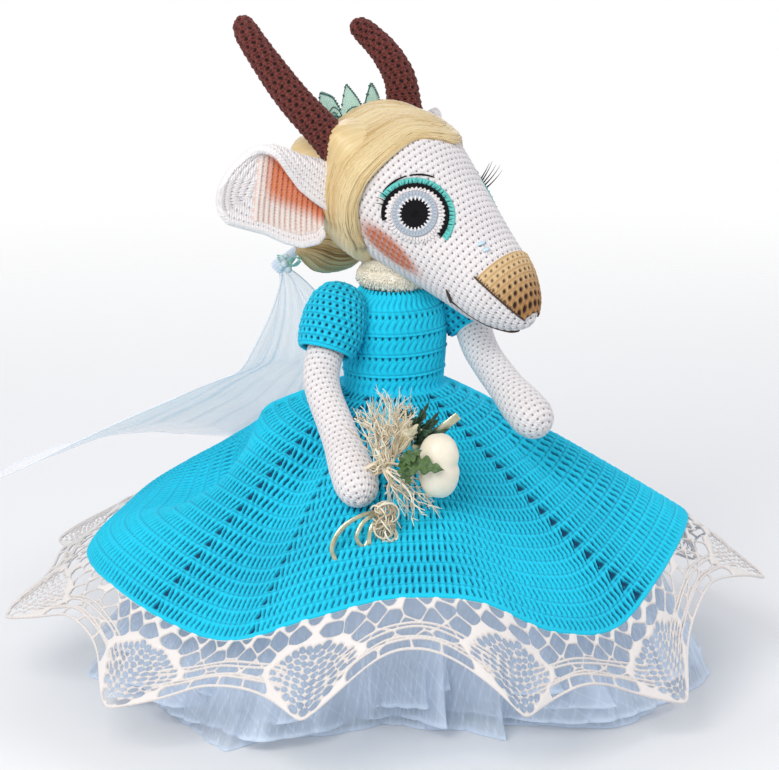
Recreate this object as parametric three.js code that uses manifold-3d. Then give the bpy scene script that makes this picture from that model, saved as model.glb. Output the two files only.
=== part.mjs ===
import * as THREE from 'three';
import { mergeGeometries, mergeVertices } from 'three/addons/utils/BufferGeometryUtils.js';
import Module from 'manifold-3d';

// A stuffed crochet goat doll in a wide skirt, with a veil, a small crown and a bouquet.
// Lengths are in millimetres, +Z is up and the doll's chest faces -Y, so its right hand is at -X.

const wasm = await Module();
wasm.setup();

// Clearances and fabric
const seatGap = 0.3;
const liftedGap = 0.85;
const crochetThickness = 2.4;
const laceThickness = 1.8;
const tulleThickness = 1.2;
const patchThickness = 1.6;
const threadRadius = 0.9;
const cutOverrun = 4;

// Torso, bodice and legs
const torsoBase = 118;
const waistHeight = 178;
const chestRadius = 29;
const chestDepth = 25;
const neckRadius = 12;
const bodiceLength = 59;
const shoulderRise = 44;
const neckRise = 22;
const legRadius = 13;
const legSpread = 17;
const footLength = 44;
const footHeight = 16;
const dowelRadius = 3;
const dowelDepth = 48;
const dowelReach = 46;

// Skirt, lace hem and petticoat
const skirtInnerRadius = 31;
const hemRadius = 176;
const hemHeight = 86;
const foldRise = 20;
const skirtDropPower = 1.15;
const foldGrowth = 1.5;
const laceReach = 74;
const laceValleyReach = 42;
const laceSlopeDegrees = 60;
const lacePoints = 11;
const laceCellsPerPoint = 3;
const laceCellRows = 3;
const lacePhaseDegrees = 55.5;
const laceBarShare = 0.24;
const petticoatWaist = 34;
const petticoatHem = 196;
const petticoatShoulder = 148;
const petticoatDrop = 20;
const pleatDepth = 5;
const pleatCount = 15;

// Arms and sleeves
const shoulderSpread = 38;
const armRadius = 11;
const sleeveRadius = 22;
const sleeveLength = 46;

// Head, ears and horns
const headShift = 3;
const headSetback = -1;
const headRise = 53;
const headYawDegrees = 22.5;
const headPitchDegrees = 36;
const skullRadius = 43.5;
const muzzleLength = 117;
const hairThickness = 9;
const hairFrontEdge = 4;
const hornRadius = 10;
const hornSpread = 42;
const hornSetback = 41;
const hornRise = 13;
const hornReach = 68;
const hornLift = 22;
const earSpread = 41;
const earSetback = 16.5;
const earDrop = 16.6;
const earLength = 69;
const earWidth = 54;

// Eyes
const eyeRadius = 17.4;
const irisRadius = 13;
const pupilRadius = 8.2;
const eyeForward = 33.8;
const eyeTurnDegrees = 64;

// Ruff, crown and veil
const ruffRadius = 18.5;
const ruffThickness = 5.5;
const ruffRise = 0.5;
const crownRadius = 24;
const crownShift = -7;
const crownSetback = 47;
const crownBand = 6;
const crownLeaf = 15;
const crownLeaves = 5;
const veilTopShift = -41;
const veilTopSetback = 53;
const veilTopRise = 7;

// Bouquet
const ballRadius = 13.5;
const flowerRadius = 10;
const bindRadius = 4.5;
const ribbonWidth = 8;
const ribbonThickness = 0.9;
const sprayReach = 36;
const twigRadius = 1.3;
const leafWidth = 11;
const leafThickness = 0.8;

// Heights, each from the one below it
const bodiceTop = waistHeight + bodiceLength;
const shoulderHeight = waistHeight + shoulderRise;
const neckTop = shoulderHeight + neckRise;
const dowelBottom = neckTop - dowelDepth;
const dowelTop = neckTop + dowelReach;
const ruffHeight = neckTop + ruffRise;
const headCentre = new THREE.Vector3(headShift, headSetback, neckTop + headRise);
const crownCentre = new THREE.Vector3(crownShift, crownSetback, 0);
const veilTop = new THREE.Vector3(veilTopShift, veilTopSetback, neckTop + veilTopRise);

const colours = {
  white: 0xf1ece9, turquoise: 0x1fc3dc, brown: 0x5a2f26, tan: 0xc49a63, terracotta: 0xd98a63,
  blonde: 0xf0d59a, cream: 0xf3ead2, black: 0x14131a, iris: 0xb9cbe0, lid: 0x55c9c4, teal: 0x4fb3ad,
  tulle: 0xdfe8f5, lace: 0xf4efe8, ivory: 0xf2ede0, green: 0x2e5434, root: 0xcdb893, satin: 0xc9c79a,
  wood: 0xb98e5a,
};

const group = new THREE.Group();
const headGroup = new THREE.Group();
headGroup.position.copy(headCentre);
const headPitch = THREE.MathUtils.degToRad(headPitchDegrees);
const headYaw = THREE.MathUtils.degToRad(headYawDegrees);
headGroup.rotation.set(headPitch, 0, headYaw, 'ZXY');
headGroup.updateMatrixWorld(true);
group.add(headGroup);

function addPiece(parent, name, geometry, colour, roughness = 0.9) {
  const plain = mergedPositions(geometry);
  plain.computeVertexNormals();
  const material = new THREE.MeshStandardMaterial({ color: colour, roughness, metalness: 0 });
  const mesh = new THREE.Mesh(plain, material);
  mesh.name = name;
  parent.add(mesh);
  return mesh;
}

function mergedPositions(geometry) {
  const copy = geometry.clone();
  copy.deleteAttribute('normal');
  copy.deleteAttribute('uv');
  return mergeVertices(copy, 1e-5);
}

function toSolid(geometry) {
  const merged = mergedPositions(geometry);
  const vertProperties = new Float32Array(merged.attributes.position.array);
  const triVerts = new Uint32Array(merged.index.array);
  return new wasm.Manifold(new wasm.Mesh({ numProp: 3, vertProperties, triVerts }));
}

function toGeometry(solid) {
  const { vertProperties, triVerts } = solid.getMesh();
  const geometry = new THREE.BufferGeometry();
  geometry.setAttribute('position', new THREE.BufferAttribute(new Float32Array(vertProperties), 3));
  geometry.setIndex(Array.from(triVerts));
  return geometry;
}

function cut(geometry, ...tools) {
  return toGeometry(tools.reduce((solid, tool) => solid.subtract(toSolid(tool)), toSolid(geometry)));
}

// The largest body that is left after a cut
function cutToOne(geometry, ...tools) {
  const solid = tools.reduce((rest, tool) => rest.subtract(toSolid(tool)), toSolid(geometry));
  const bodies = solid.decompose().sort((a, b) => b.volume() - a.volume());
  return toGeometry(bodies[0]);
}

function join(...geometries) {
  const [first, ...rest] = geometries;
  return toGeometry(rest.reduce((solid, next) => solid.add(toSolid(next)), toSolid(first)));
}

function signedVolume(points, faces) {
  let volume = 0;
  for (const [a, b, c] of faces) {
    volume += points[a].dot(new THREE.Vector3().crossVectors(points[b], points[c])) / 6;
  }
  return volume;
}

function solidOf(points, faces) {
  const outward = signedVolume(points, faces) > 0;
  const geometry = new THREE.BufferGeometry().setFromPoints(points);
  geometry.setIndex(faces.flatMap(([a, b, c]) => (outward ? [a, b, c] : [a, c, b])));
  return geometry;
}

// A closed solid through rings of equal count, with a point at each end
function loft(rings, start, end) {
  const count = rings[0].length;
  const points = [...rings.flat(), start, end];
  const faces = [];
  for (let j = 0; j + 1 < rings.length; j += 1) {
    for (let i = 0; i < count; i += 1) {
      const a = j * count + i;
      const b = j * count + ((i + 1) % count);
      faces.push([a, b, a + count], [b, b + count, a + count]);
    }
  }
  const last = (rings.length - 1) * count;
  for (let i = 0; i < count; i += 1) {
    const k = (i + 1) % count;
    faces.push([k, i, points.length - 2], [last + i, last + k, points.length - 1]);
  }
  return solidOf(points, faces);
}

// A closed sheet between two grids of points; open cells are left out and get walls
function sheet(outer, inner, wraps, isOpen = () => false) {
  const nu = outer.length;
  const nv = outer[0].length;
  const cellsU = wraps ? nu : nu - 1;
  const cellsV = nv - 1;
  const points = [...outer.flat(), ...inner.flat()];
  const top = (i, j) => (i % nu) * nv + j;
  const bottom = (i, j) => nu * nv + top(i, j);
  const filled = (i, j) => {
    const inside = j >= 0 && j < cellsV && (wraps || (i >= 0 && i < cellsU));
    return inside && !isOpen((i + cellsU) % cellsU, j);
  };
  const faces = [];
  const quad = (a, b, c, d) => faces.push([a, b, c], [a, c, d]);
  for (let i = 0; i < cellsU; i += 1) {
    for (let j = 0; j < cellsV; j += 1) {
      if (!filled(i, j)) continue;
      quad(top(i, j), top(i + 1, j), top(i + 1, j + 1), top(i, j + 1));
      quad(bottom(i, j), bottom(i, j + 1), bottom(i + 1, j + 1), bottom(i + 1, j));
      if (!filled(i, j - 1)) quad(top(i + 1, j), top(i, j), bottom(i, j), bottom(i + 1, j));
      if (!filled(i, j + 1)) quad(top(i, j + 1), top(i + 1, j + 1), bottom(i + 1, j + 1), bottom(i, j + 1));
      if (!filled(i - 1, j)) quad(top(i, j), top(i, j + 1), bottom(i, j + 1), bottom(i, j));
      if (!filled(i + 1, j)) quad(top(i + 1, j + 1), top(i + 1, j), bottom(i + 1, j), bottom(i + 1, j + 1));
    }
  }
  return solidOf(points, faces);
}

function range(count) {
  return Array.from({ length: count }, (_, i) => i);
}

function ring(centre, along, across, radiusAlong, radiusAcross, sides) {
  return range(sides).map((i) => {
    const turn = (i / sides) * 2 * Math.PI;
    return centre.clone()
      .addScaledVector(along, radiusAlong * Math.cos(turn))
      .addScaledVector(across, radiusAcross * Math.sin(turn));
  });
}

// A limb whose radius follows shares of one size, with rounded ends
function limb(path, radius, radiusShares, steps, sides) {
  const curve = new THREE.CatmullRomCurve3(path);
  const frames = curve.computeFrenetFrames(steps, false);
  const rings = range(steps + 1).slice(1, -1).map((k) => {
    const share = shareAt(radiusShares, k / steps) * radius;
    return ring(curve.getPointAt(k / steps), frames.normals[k], frames.binormals[k], share, share, sides);
  });
  return loft(rings, curve.getPointAt(0), curve.getPointAt(1));
}

// The value at a place from 0 to 1 in a list of [place, share] pairs
function shareAt(shares, place) {
  const next = shares.findIndex(([at]) => at >= place);
  if (next <= 0) return shares[next === 0 ? 0 : shares.length - 1][1];
  const [a, low] = shares[next - 1];
  const [b, high] = shares[next];
  return low + ((high - low) * (place - a)) / (b - a);
}

function degrees(value) {
  return THREE.MathUtils.degToRad(value);
}

function vector(x, y, z) {
  return new THREE.Vector3(x, y, z);
}

// Body

function torsoPiece() {
  const span = neckTop - torsoBase;
  const widthShares = [
    [0, 0.5], [0.06, 0.86], [0.2, 1.06], [0.45, 0.93], [0.62, 0.98],
    [0.74, 1], [0.85, 0.86], [0.92, 0.5], [1, 0.42],
  ];
  const rings = range(13).map((k) => {
    const place = k / 12;
    const width = Math.max(shareAt(widthShares, place) * chestRadius, neckRadius);
    const depth = Math.max(shareAt(widthShares, place) * chestDepth, neckRadius);
    const centre = vector(0, 0, torsoBase + place * span);
    return ring(centre, vector(1, 0, 0), vector(0, 1, 0), width, depth, 16);
  });
  const solid = loft(rings, vector(0, 0, torsoBase), vector(0, 0, neckTop));
  return cut(solid, rod(dowelRadius + seatGap, dowelBottom - seatGap, neckTop + cutOverrun));
}

function rod(radius, low, high, sides = 16) {
  const bar = new THREE.CylinderGeometry(radius, radius, high - low, sides);
  bar.rotateX(Math.PI / 2);
  bar.translate(0, 0, (low + high) / 2);
  return bar;
}

function bodicePiece() {
  const span = bodiceTop - waistHeight;
  const neckShares = [[0, 0.94], [0.3, 0.99], [0.6, 1.02], [0.78, 0.97], [0.9, 0.8], [1, 0.6]];
  const wall = (offset) => range(22).map((i) => {
    const turn = (i / 22) * 2 * Math.PI;
    return range(6).map((j) => {
      const share = shareAt(neckShares, j / 5);
      const width = share * chestRadius + offset;
      const depth = share * chestDepth + offset;
      const height = waistHeight + seatGap + (j / 5) * span;
      return vector(width * Math.cos(turn), depth * Math.sin(turn), height);
    });
  });
  const clear = chestRadius * 0.02 + seatGap;
  return sheet(wall(clear + crochetThickness), wall(clear), true);
}

function legPiece(side) {
  const x = side * legSpread;
  const rings = [];
  const soleShares = [[0, 1], [0.35, 1.08], [1, 0.8]];
  for (const place of [0, 0.35, 1]) {
    const length = (footLength / 2) * shareAt(soleShares, place);
    const centre = vector(x, -footLength * 0.16 * (1 - place), place * footHeight);
    const width = legRadius * shareAt(soleShares, place);
    rings.push(ring(centre, vector(1, 0, 0), vector(0, 1, 0), width, length, 20));
  }
  const shinShares = [[0, 0.86], [0.3, 0.8], [0.7, 0.95], [1, 0.9]];
  const shinLength = torsoBase - seatGap - footHeight * 1.3;
  for (const place of [0, 0.3, 0.7, 1]) {
    const centre = vector(x, 0, footHeight * 1.3 + place * shinLength);
    const radius = legRadius * shareAt(shinShares, place);
    rings.push(ring(centre, vector(1, 0, 0), vector(0, 1, 0), radius, radius, 20));
  }
  return loft(rings, vector(x, -footLength * 0.16, 0), vector(x, 0, torsoBase - seatGap));
}

// Skirt

// The value at a turn in a closed list of shares, from the turn of its first one towards the doll's left
function cyclic(shares, turn, start) {
  const place = ((((turn - start) / 360) % 1) + 1) % 1 * shares.length;
  const k = Math.floor(place);
  const t = place - k;
  const pick = (n) => shares[(k + n + shares.length) % shares.length];
  const [a, b, c, d] = [pick(-1), pick(0), pick(1), pick(2)];
  const second = 2 * a - 5 * b + 4 * c - d;
  const third = 3 * b - a - 3 * c + d;
  return 0.5 * (2 * b + (c - a) * t + second * t ** 2 + third * t ** 3);
}

// Shares of the fold's rise, the lace's slope and the petticoat's hem all round,
// from the doll's right and behind
const listStartDegrees = -120;
const foldShares = [
  -0.85, -0.8, -0.7, -0.75, -0.7, 0.2, 1, 0.75, -0.5, -0.9, 0, 0.6,
  0.55, 0, -0.7, -0.8, -0.1, 0.5, 0.3, -0.4, -0.8, -0.2, 0, -0.5,
];
const slopeShares = [0.32, 0.55, 0.73, 0.88, 0.95, 0.92, 0.63, 0.73, 0.83, 0.75, 0.63, 0.5];
const petticoatShares = [
  0.97, 0.97, 0.97, 0.95, 0.88, 0.74, 0.64, 0.64, 0.76, 0.9, 0.97, 1,
  1, 0.97, 0.94, 0.94, 0.94, 0.94, 0.94, 0.94, 0.94, 0.94, 0.95, 0.96,
];

function around(turn, radius, height) {
  const angle = degrees(turn - 90);
  return vector(radius * Math.cos(angle), radius * Math.sin(angle), height);
}

function skirtPoint(turn, t) {
  const radius = skirtInnerRadius + (hemRadius - skirtInnerRadius) * t;
  const drop = (waistHeight - hemHeight) * t ** skirtDropPower;
  const fold = foldRise * cyclic(foldShares, turn, listStartDegrees) * t ** foldGrowth;
  return { radius, height: waistHeight - drop + fold };
}

function offsetBelow(profile, turn, t, depth) {
  const step = 0.01;
  const a = profile(turn, t - step);
  const b = profile(turn, t + step);
  const here = profile(turn, t);
  const length = Math.hypot(b.radius - a.radius, b.height - a.height);
  const radius = here.radius + (depth * (b.height - a.height)) / length;
  return around(turn, radius, here.height - (depth * (b.radius - a.radius)) / length);
}

function turnedSheet(profile, columns, rows, top, bottom, isOpen, place = (j) => j / rows) {
  const wall = (depth) => range(columns).map((i) => range(rows + 1).map((j) => {
    const turn = (i / columns) * 360;
    return offsetBelow(profile, turn, place(j), depth);
  }));
  return sheet(wall(top), wall(bottom), true, isOpen);
}

function skirtPiece() {
  return turnedSheet((turn, t) => skirtPoint(turn, Math.max(t, 0)), 60, 6, 0, crochetThickness);
}

function laceReachAt(turn) {
  const wave = 1 - Math.abs(Math.sin(degrees(((turn - lacePhaseDegrees) * lacePoints) / 2)));
  return laceValleyReach + (laceReach - laceValleyReach) * wave ** 0.9;
}

function lacePoint(turn, s) {
  const hem = skirtPoint(turn, 1);
  const slope = degrees(laceSlopeDegrees * cyclic(slopeShares, turn, listStartDegrees));
  const length = laceThickness + s * laceReachAt(turn);
  return { radius: hem.radius + length * Math.cos(slope), height: hem.height - length * Math.sin(slope) };
}

function lacePiece() {
  const columns = 2 * lacePoints * laceCellsPerPoint;
  const rows = 2 * laceCellRows + 1;
  const place = (j) => {
    const bar = laceBarShare / laceCellRows;
    const cell = (1 - bar) / laceCellRows;
    return j % 2 === 0 ? (j / 2) * cell : ((j - 1) / 2) * cell + bar;
  };
  const isOpen = (i, j) => i % 2 === 1 && j % 2 === 1;
  return turnedSheet(lacePoint, columns, rows, 0, laceThickness, isOpen, place);
}

function petticoatPoint(turn, t) {
  const share = Math.min(t / 0.7, 1);
  const reach = (petticoatShoulder - skirtInnerRadius) / (hemRadius - skirtInnerRadius);
  const under = skirtPoint(turn, share * reach);
  const high = {
    radius: under.radius + (petticoatWaist - skirtInnerRadius) * (1 - share),
    height: under.height - crochetThickness - petticoatDrop * (0.15 + 0.85 * share),
  };
  if (t <= 0.7) return high;
  const down = (t - 0.7) / 0.3;
  const pleat = pleatDepth * Math.cos(degrees(turn * pleatCount)) * down;
  const hem = petticoatHem * cyclic(petticoatShares, turn, listStartDegrees);
  const radius = petticoatShoulder + (hem - petticoatShoulder) * Math.sin((down * Math.PI) / 2) + pleat;
  return { radius, height: high.height * (1 - down) };
}

function petticoatPiece() {
  const wall = (depth) => range(4 * pleatCount).map((i) => range(7).map((j) => {
    const turn = (i / (4 * pleatCount)) * 360;
    const place = [0, 0.35, 0.7, 0.78, 0.86, 0.93, 1][j];
    const { radius, height } = petticoatPoint(turn, place);
    return around(turn, radius - depth, height);
  }));
  return sheet(wall(0), wall(tulleThickness), true);
}

// Arms

// Places of a hand's path as shares of the shoulder's spread and height
const rightArmShares = [
  [-1, 0.02, 1.03], [-1.2, -0.12, 0.965], [-1.6, -0.55, 0.865], [-1.78, -1.4, 0.765], [-1.97, -2.3, 0.672],
  [-2.04, -2.62, 0.634],
];
const leftArmShares = [
  [1.2, 0.02, 1.03], [1.2, -0.3, 0.975], [1.02, -0.95, 0.905], [0.9, -1.8, 0.85], [0.89, -2.55, 0.797],
  [0.93, -2.95, 0.768],
];

function armPath(side) {
  const places = side < 0 ? rightArmShares : leftArmShares;
  return places.map(([x, y, z]) => vector(shoulderSpread * x, shoulderSpread * y, shoulderHeight * z));
}

const armShares = [
  [0, 0.6], [0.06, 0.9], [0.15, 1], [0.45, 0.95], [0.68, 1.02],
  [0.8, 1.2], [0.9, 1.22], [0.96, 0.85], [1, 0.3],
];

function armForm(side, extra) {
  return limb(armPath(side), armRadius + extra, armShares, 18, 14);
}

function sleevePiece(side) {
  const startX = side * (shoulderSpread - sleeveRadius * 0.1);
  const start = vector(startX, 0, shoulderHeight + sleeveRadius * 0.85);
  const cuff = new THREE.CatmullRomCurve3(armPath(side)).getPointAt(side < 0 ? 0.27 : 0.24);
  const axis = cuff.clone().sub(start).normalize();
  const along = vector(side, 0, 0).addScaledVector(axis, -side * axis.x).normalize();
  const across = new THREE.Vector3().crossVectors(axis, along);
  const puffShares = [
    [0, 0.2], [0.08, 0.62], [0.25, 0.93], [0.5, 1], [0.75, 0.95], [0.92, 0.8], [1, 0.69],
  ];
  const wall = (offset, low, high) => range(8).map((k) => {
    const place = low + (k / 7) * (high - low);
    const radius = shareAt(puffShares, place) * sleeveRadius - offset;
    const centre = start.clone().lerp(cuff, place);
    return ring(centre, along, across, radius, radius, 18);
  });
  const solid = loft(wall(0, 0, 1), start, cuff);
  const hollowEnd = cuff.clone().addScaledVector(axis, crochetThickness);
  const hollow = loft(wall(crochetThickness, 0.12, 1.04), start.clone().lerp(cuff, 0.12), hollowEnd);
  const halfSpace = new THREE.BoxGeometry(2 * sleeveLength, 4 * sleeveLength, 4 * sleeveLength);
  const bodiceSide = chestRadius * 1.05 + crochetThickness + 2 * seatGap;
  halfSpace.translate(side * (bodiceSide - sleeveLength), 0, shoulderHeight);
  return cut(solid, hollow, halfSpace);
}

// Head

const headShares = [
  [-0.385, 0.08], [-0.36, 0.36], [-0.31, 0.6], [-0.24, 0.8], [-0.15, 0.935], [-0.06, 0.995],
  [0.02, 1], [0.15, 0.935], [0.3, 0.83], [0.45, 0.73], [0.6, 0.635],
  [0.73, 0.56], [0.83, 0.47], [0.92, 0.33], [0.97, 0.2], [1, 0.05],
];

function headRadius(forward) {
  return shareAt(headShares, forward / muzzleLength) * skullRadius;
}

// A place on the head: how far forward, the turn from the top towards the doll's left,
// and the height over it
function headPoint(forward, turn, height = 0) {
  const angle = degrees(turn);
  const radius = headRadius(forward) + height;
  return vector(radius * Math.sin(angle), -forward, radius * Math.cos(angle));
}

function headForm(height, sides = 24) {
  const places = headShares.map(([share]) => share * muzzleLength);
  const rings = places.map((forward) => range(sides).map((i) => {
    return headPoint(forward, (i / sides) * 360, height);
  }));
  const first = vector(0, -places[0] + height, 0);
  const last = vector(0, -places[places.length - 1] - height, 0);
  return loft(rings, first, last);
}

function inHeadFrame(geometry) {
  return geometry.clone().applyMatrix4(headGroup.matrixWorld.clone().invert());
}

function headPiece() {
  const hole = rod(dowelRadius + seatGap, neckTop - cutOverrun, dowelTop + seatGap);
  return cut(headForm(0), inHeadFrame(hole));
}

function hairForm(extra) {
  const behind = headShares.slice(0, 6).reverse().map(([share]) => share * muzzleLength);
  const places = [hairFrontEdge, ...behind];
  const sides = 24;
  const rings = places.map((forward, k) => range(sides).map((i) => {
    const turn = (i / sides) * 360;
    const top = Math.max(Math.cos(degrees(turn)), 0);
    const swell = (0.75 + 0.25 * top) * Math.min(0.6 + 0.25 * k, 1);
    return headPoint(forward, turn, hairThickness * swell + extra);
  }));
  const back = hairThickness + extra - places[places.length - 1];
  return loft(rings, vector(0, -hairFrontEdge - extra, 0), vector(0, back, 0));
}

function hairCapPiece() {
  const neckClear = inHeadFrame(rod(ruffRadius + ruffThickness + 2 * seatGap, ruffHeight - skullRadius,
    headCentre.z - skullRadius / 2, 24));
  const clear = 3 * seatGap;
  const ears = [-1, 1].map((side) => {
    return earPatch(side, [-0.04, 0.4], [-1.1, 1.1], -clear, crochetThickness + clear, 5);
  });
  const horns = [-1, 1].map((side) => hornForm(side, seatGap));
  return cut(hairForm(0), headForm(seatGap), neckClear, ...ears, ...horns);
}

// Each horn's path as shares of its spread, reach and lift from its base
const rightHornShares = [
  [0.8, -0.3, -0.3], [1, -0.07, 0.09], [1.23, 0.28, 0.41],
  [1.34, 0.61, 0.69], [1.35, 0.94, 0.9], [1.24, 1.15, 0.97],
];
const leftHornShares = [
  [0.8, -0.2, -0.3], [0.98, 0.07, 0.13], [1.04, 0.28, 0.58],
  [1.03, 0.52, 0.82], [1.01, 0.76, 0.86], [0.92, 0.93, 0.89],
];

function hornForm(side, extra) {
  const places = side < 0 ? rightHornShares : leftHornShares;
  const path = places.map(([x, y, z]) => {
    return vector(side * hornSpread * x, hornSetback + hornReach * y, hornRise + hornLift * z);
  });
  const taperShares = [[0, 1], [0.2, 1], [0.6, 0.78], [0.9, 0.56], [0.96, 0.42], [1, 0.2]];
  return limb(path, hornRadius + extra, taperShares, 13, 12);
}

function hornPiece(side) {
  return cut(hornForm(side, 0), headForm(seatGap));
}

function earSurface(side, u, v, depth) {
  const lengthways = vector(side * 0.93, 0.34, 0.06).normalize();
  const forwards = vector(side * 0.42, -0.86, 0.3).normalize();
  const across = new THREE.Vector3().crossVectors(lengthways, forwards).normalize();
  const widthShares = [
    [0, 0.6], [0.2, 0.8], [0.45, 1.05], [0.68, 1.12], [0.84, 0.96], [0.94, 0.66], [1, 0.3],
  ];
  const curlShares = [[0, 165], [0.2, 135], [0.45, 85], [0.7, 55], [1, 35]];
  const halfWidth = (shareAt(widthShares, u) * earWidth) / 2;
  const curl = degrees(shareAt(curlShares, u));
  const radius = halfWidth / curl;
  const angle = v * curl;
  const base = vector(side * (earSpread + hairThickness * 0.2), earSetback, -earDrop);
  return base.addScaledVector(lengthways, u * earLength)
    .addScaledVector(across, (radius - depth) * Math.sin(angle))
    .addScaledVector(forwards, radius - (radius - depth) * Math.cos(angle));
}

function earPatch(side, ends, edges, near, far, steps = 9) {
  const wall = (depth) => range(steps + 1).map((i) => range(8).map((j) => {
    const u = ends[0] + (i / steps) * (ends[1] - ends[0]);
    const v = edges[0] + (j / 7) * (edges[1] - edges[0]);
    return earSurface(side, u, v, depth);
  }));
  return sheet(wall(near), wall(far), false);
}

function earPiece(side) {
  return cut(earPatch(side, [0, 1], [-1, 1], 0, crochetThickness), headForm(seatGap));
}

function earLiningPiece(side) {
  const near = crochetThickness + liftedGap;
  return earPatch(side, [0.16, 0.62], [-0.55, 0.55], near, near + patchThickness, 5);
}

// A disc lying on the head round one eye, between two radii and two heights
function headDisc(side, inner, outer, low, high, from = 0, to = 360) {
  const full = to - from >= 360;
  const columns = full ? 20 : 14;
  const point = (turn, radius, height) => {
    const angle = degrees(turn);
    const forward = eyeForward + radius * Math.sin(angle);
    const arc = (radius * Math.cos(angle)) / headRadius(eyeForward);
    return headPoint(forward, side * (eyeTurnDegrees + THREE.MathUtils.radToDeg(arc)), height);
  };
  const steps = inner > 0 ? 1 : 2;
  const turns = range(full ? columns : columns + 1).map((i) => from + (i / columns) * (to - from));
  if (inner > 0) {
    const wall = (height) => turns.map((turn) => range(steps + 1).map((j) => {
      return point(turn, inner + (j / steps) * (outer - inner), height);
    }));
    return sheet(wall(high), wall(low), full);
  }
  const radii = range(steps).map((j) => (outer * (j + 1)) / steps);
  const rings = [...radii.map((radius) => turns.map((turn) => point(turn, radius, high))),
    ...radii.slice().reverse().map((radius) => turns.map((turn) => point(turn, radius, low)))];
  return loft(rings, point(0, 0, high), point(0, 0, low));
}

function threadAlong(points, radius = threadRadius, sides = 6) {
  const curve = new THREE.CatmullRomCurve3(points);
  const outline = new THREE.Shape(range(sides).map((i) => {
    const turn = (i / sides) * 2 * Math.PI;
    return new THREE.Vector2(radius * Math.cos(turn), radius * Math.sin(turn));
  }));
  const steps = 3 * (points.length - 1);
  return new THREE.ExtrudeGeometry(outline, { steps, bevelEnabled: false, extrudePath: curve });
}

function lashesPiece(side) {
  const reach = eyeRadius * 0.34;
  const top = liftedGap + 2 * threadRadius;
  const band = headDisc(side, eyeRadius * 1.4, eyeRadius * 1.48, liftedGap, top, 289, 316);
  const hairs = range(3).map((k) => {
    const turn = 292 + k * 10;
    const root = discPoint(side, turn, eyeRadius * 1.44, liftedGap + threadRadius);
    const tip = discPoint(side, turn - 7, eyeRadius * 1.44 + reach, liftedGap + threadRadius + reach);
    return threadAlong([root, tip], threadRadius * 0.6, 4);
  });
  return join(band, ...hairs);
}

function discPoint(side, turn, radius, height) {
  const angle = degrees(turn);
  const forward = eyeForward + radius * Math.sin(angle);
  const arc = THREE.MathUtils.radToDeg((radius * Math.cos(angle)) / headRadius(eyeForward));
  return headPoint(forward, side * (eyeTurnDegrees + arc), height);
}

function eyebrowPiece(side) {
  const height = liftedGap + threadRadius;
  const browShares = [1.62, 1.62, 1.6, 1.52, 1.44];
  const points = browShares.map((share, k) => discPoint(side, 205 + k * 19, eyeRadius * share, height));
  return threadAlong(points);
}

function eyePieces(side, label) {
  const thick = patchThickness * 0.6;
  const [first, second, third] = range(3).map((k) => liftedGap + k * (thick + seatGap));
  const arc = (inner, outer, from, to) => headDisc(side, inner, outer, first, first + thick, from, to);
  const pieces = [
    ['eye_white', headDisc(side, 0, eyeRadius, first, first + thick), colours.white],
    ['iris', headDisc(side, 0, irisRadius, second, second + thick), colours.iris],
    ['pupil', headDisc(side, 0, pupilRadius, third, third + thick), colours.black],
    ['upper_lash_line', arc(eyeRadius + seatGap, eyeRadius * 1.13, 95, 288), colours.black],
    ['eyelid', arc(eyeRadius * 1.13 + seatGap, eyeRadius * 1.31, 100, 280), colours.lid],
    ['lashes', lashesPiece(side), colours.black],
    ['eyebrow', eyebrowPiece(side), colours.black],
  ];
  for (const [name, geometry, colour] of pieces) {
    addPiece(headGroup, `${name}_${label}`, geometry, colour);
  }
}

function nosePatchPiece() {
  const wall = (height) => range(13).map((i) => range(6).map((j) => {
    const forward = muzzleLength * (0.725 + (j / 5) * 0.25);
    return headPoint(forward, -66 + (i / 12) * 132, height);
  }));
  return sheet(wall(liftedGap + patchThickness), wall(liftedGap), false);
}

function mouthPiece() {
  const height = liftedGap + threadRadius;
  const mouthShares = [0.66, 0.76, 0.86, 0.94, 0.965, 0.94, 0.86, 0.76, 0.66];
  const mouthDegrees = [-122, -128, -138, -160, 180, 160, 138, 128, 122];
  const points = mouthShares.map((share, k) => headPoint(share * muzzleLength, mouthDegrees[k], height));
  return threadAlong(points, threadRadius, 5);
}

// Hair, ruff, crown and veil

function ruffPiece() {
  const outline = range(10).map((i) => {
    const turn = (i / 10) * 2 * Math.PI;
    const radius = ruffRadius + ruffThickness * Math.cos(turn);
    return new THREE.Vector2(radius, ruffHeight + ruffThickness * Math.sin(turn));
  });
  const ringShape = new THREE.LatheGeometry([...outline, outline[0]], 18);
  ringShape.rotateX(Math.PI / 2);
  return cut(inHeadFrame(ringShape), headForm(seatGap));
}

function napeForm(extra) {
  const start = vector(headCentre.x, skullRadius * 0.9, headCentre.z - skullRadius * 0.72);
  const end = vector(veilTop.x * 0.98, veilTop.y - hairThickness * 0.9, veilTop.z + hairThickness * 0.5);
  const middle = start.clone().lerp(end, 0.5).add(vector(0, hairThickness * 0.6, hairThickness * 0.2));
  const swellShares = [[0, 0.5], [0.15, 1], [0.5, 1.35], [0.85, 1], [1, 0.5]];
  return inHeadFrame(limb([start, middle, end], hairThickness + extra, swellShares, 8, 14));
}

function hairHeight(x, y) {
  const radius = skullRadius + hairThickness * 1.3;
  const across = Math.hypot(x - headCentre.x, y - headCentre.y);
  return headCentre.z + Math.sqrt(Math.max(radius ** 2 - across ** 2, 0));
}

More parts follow.
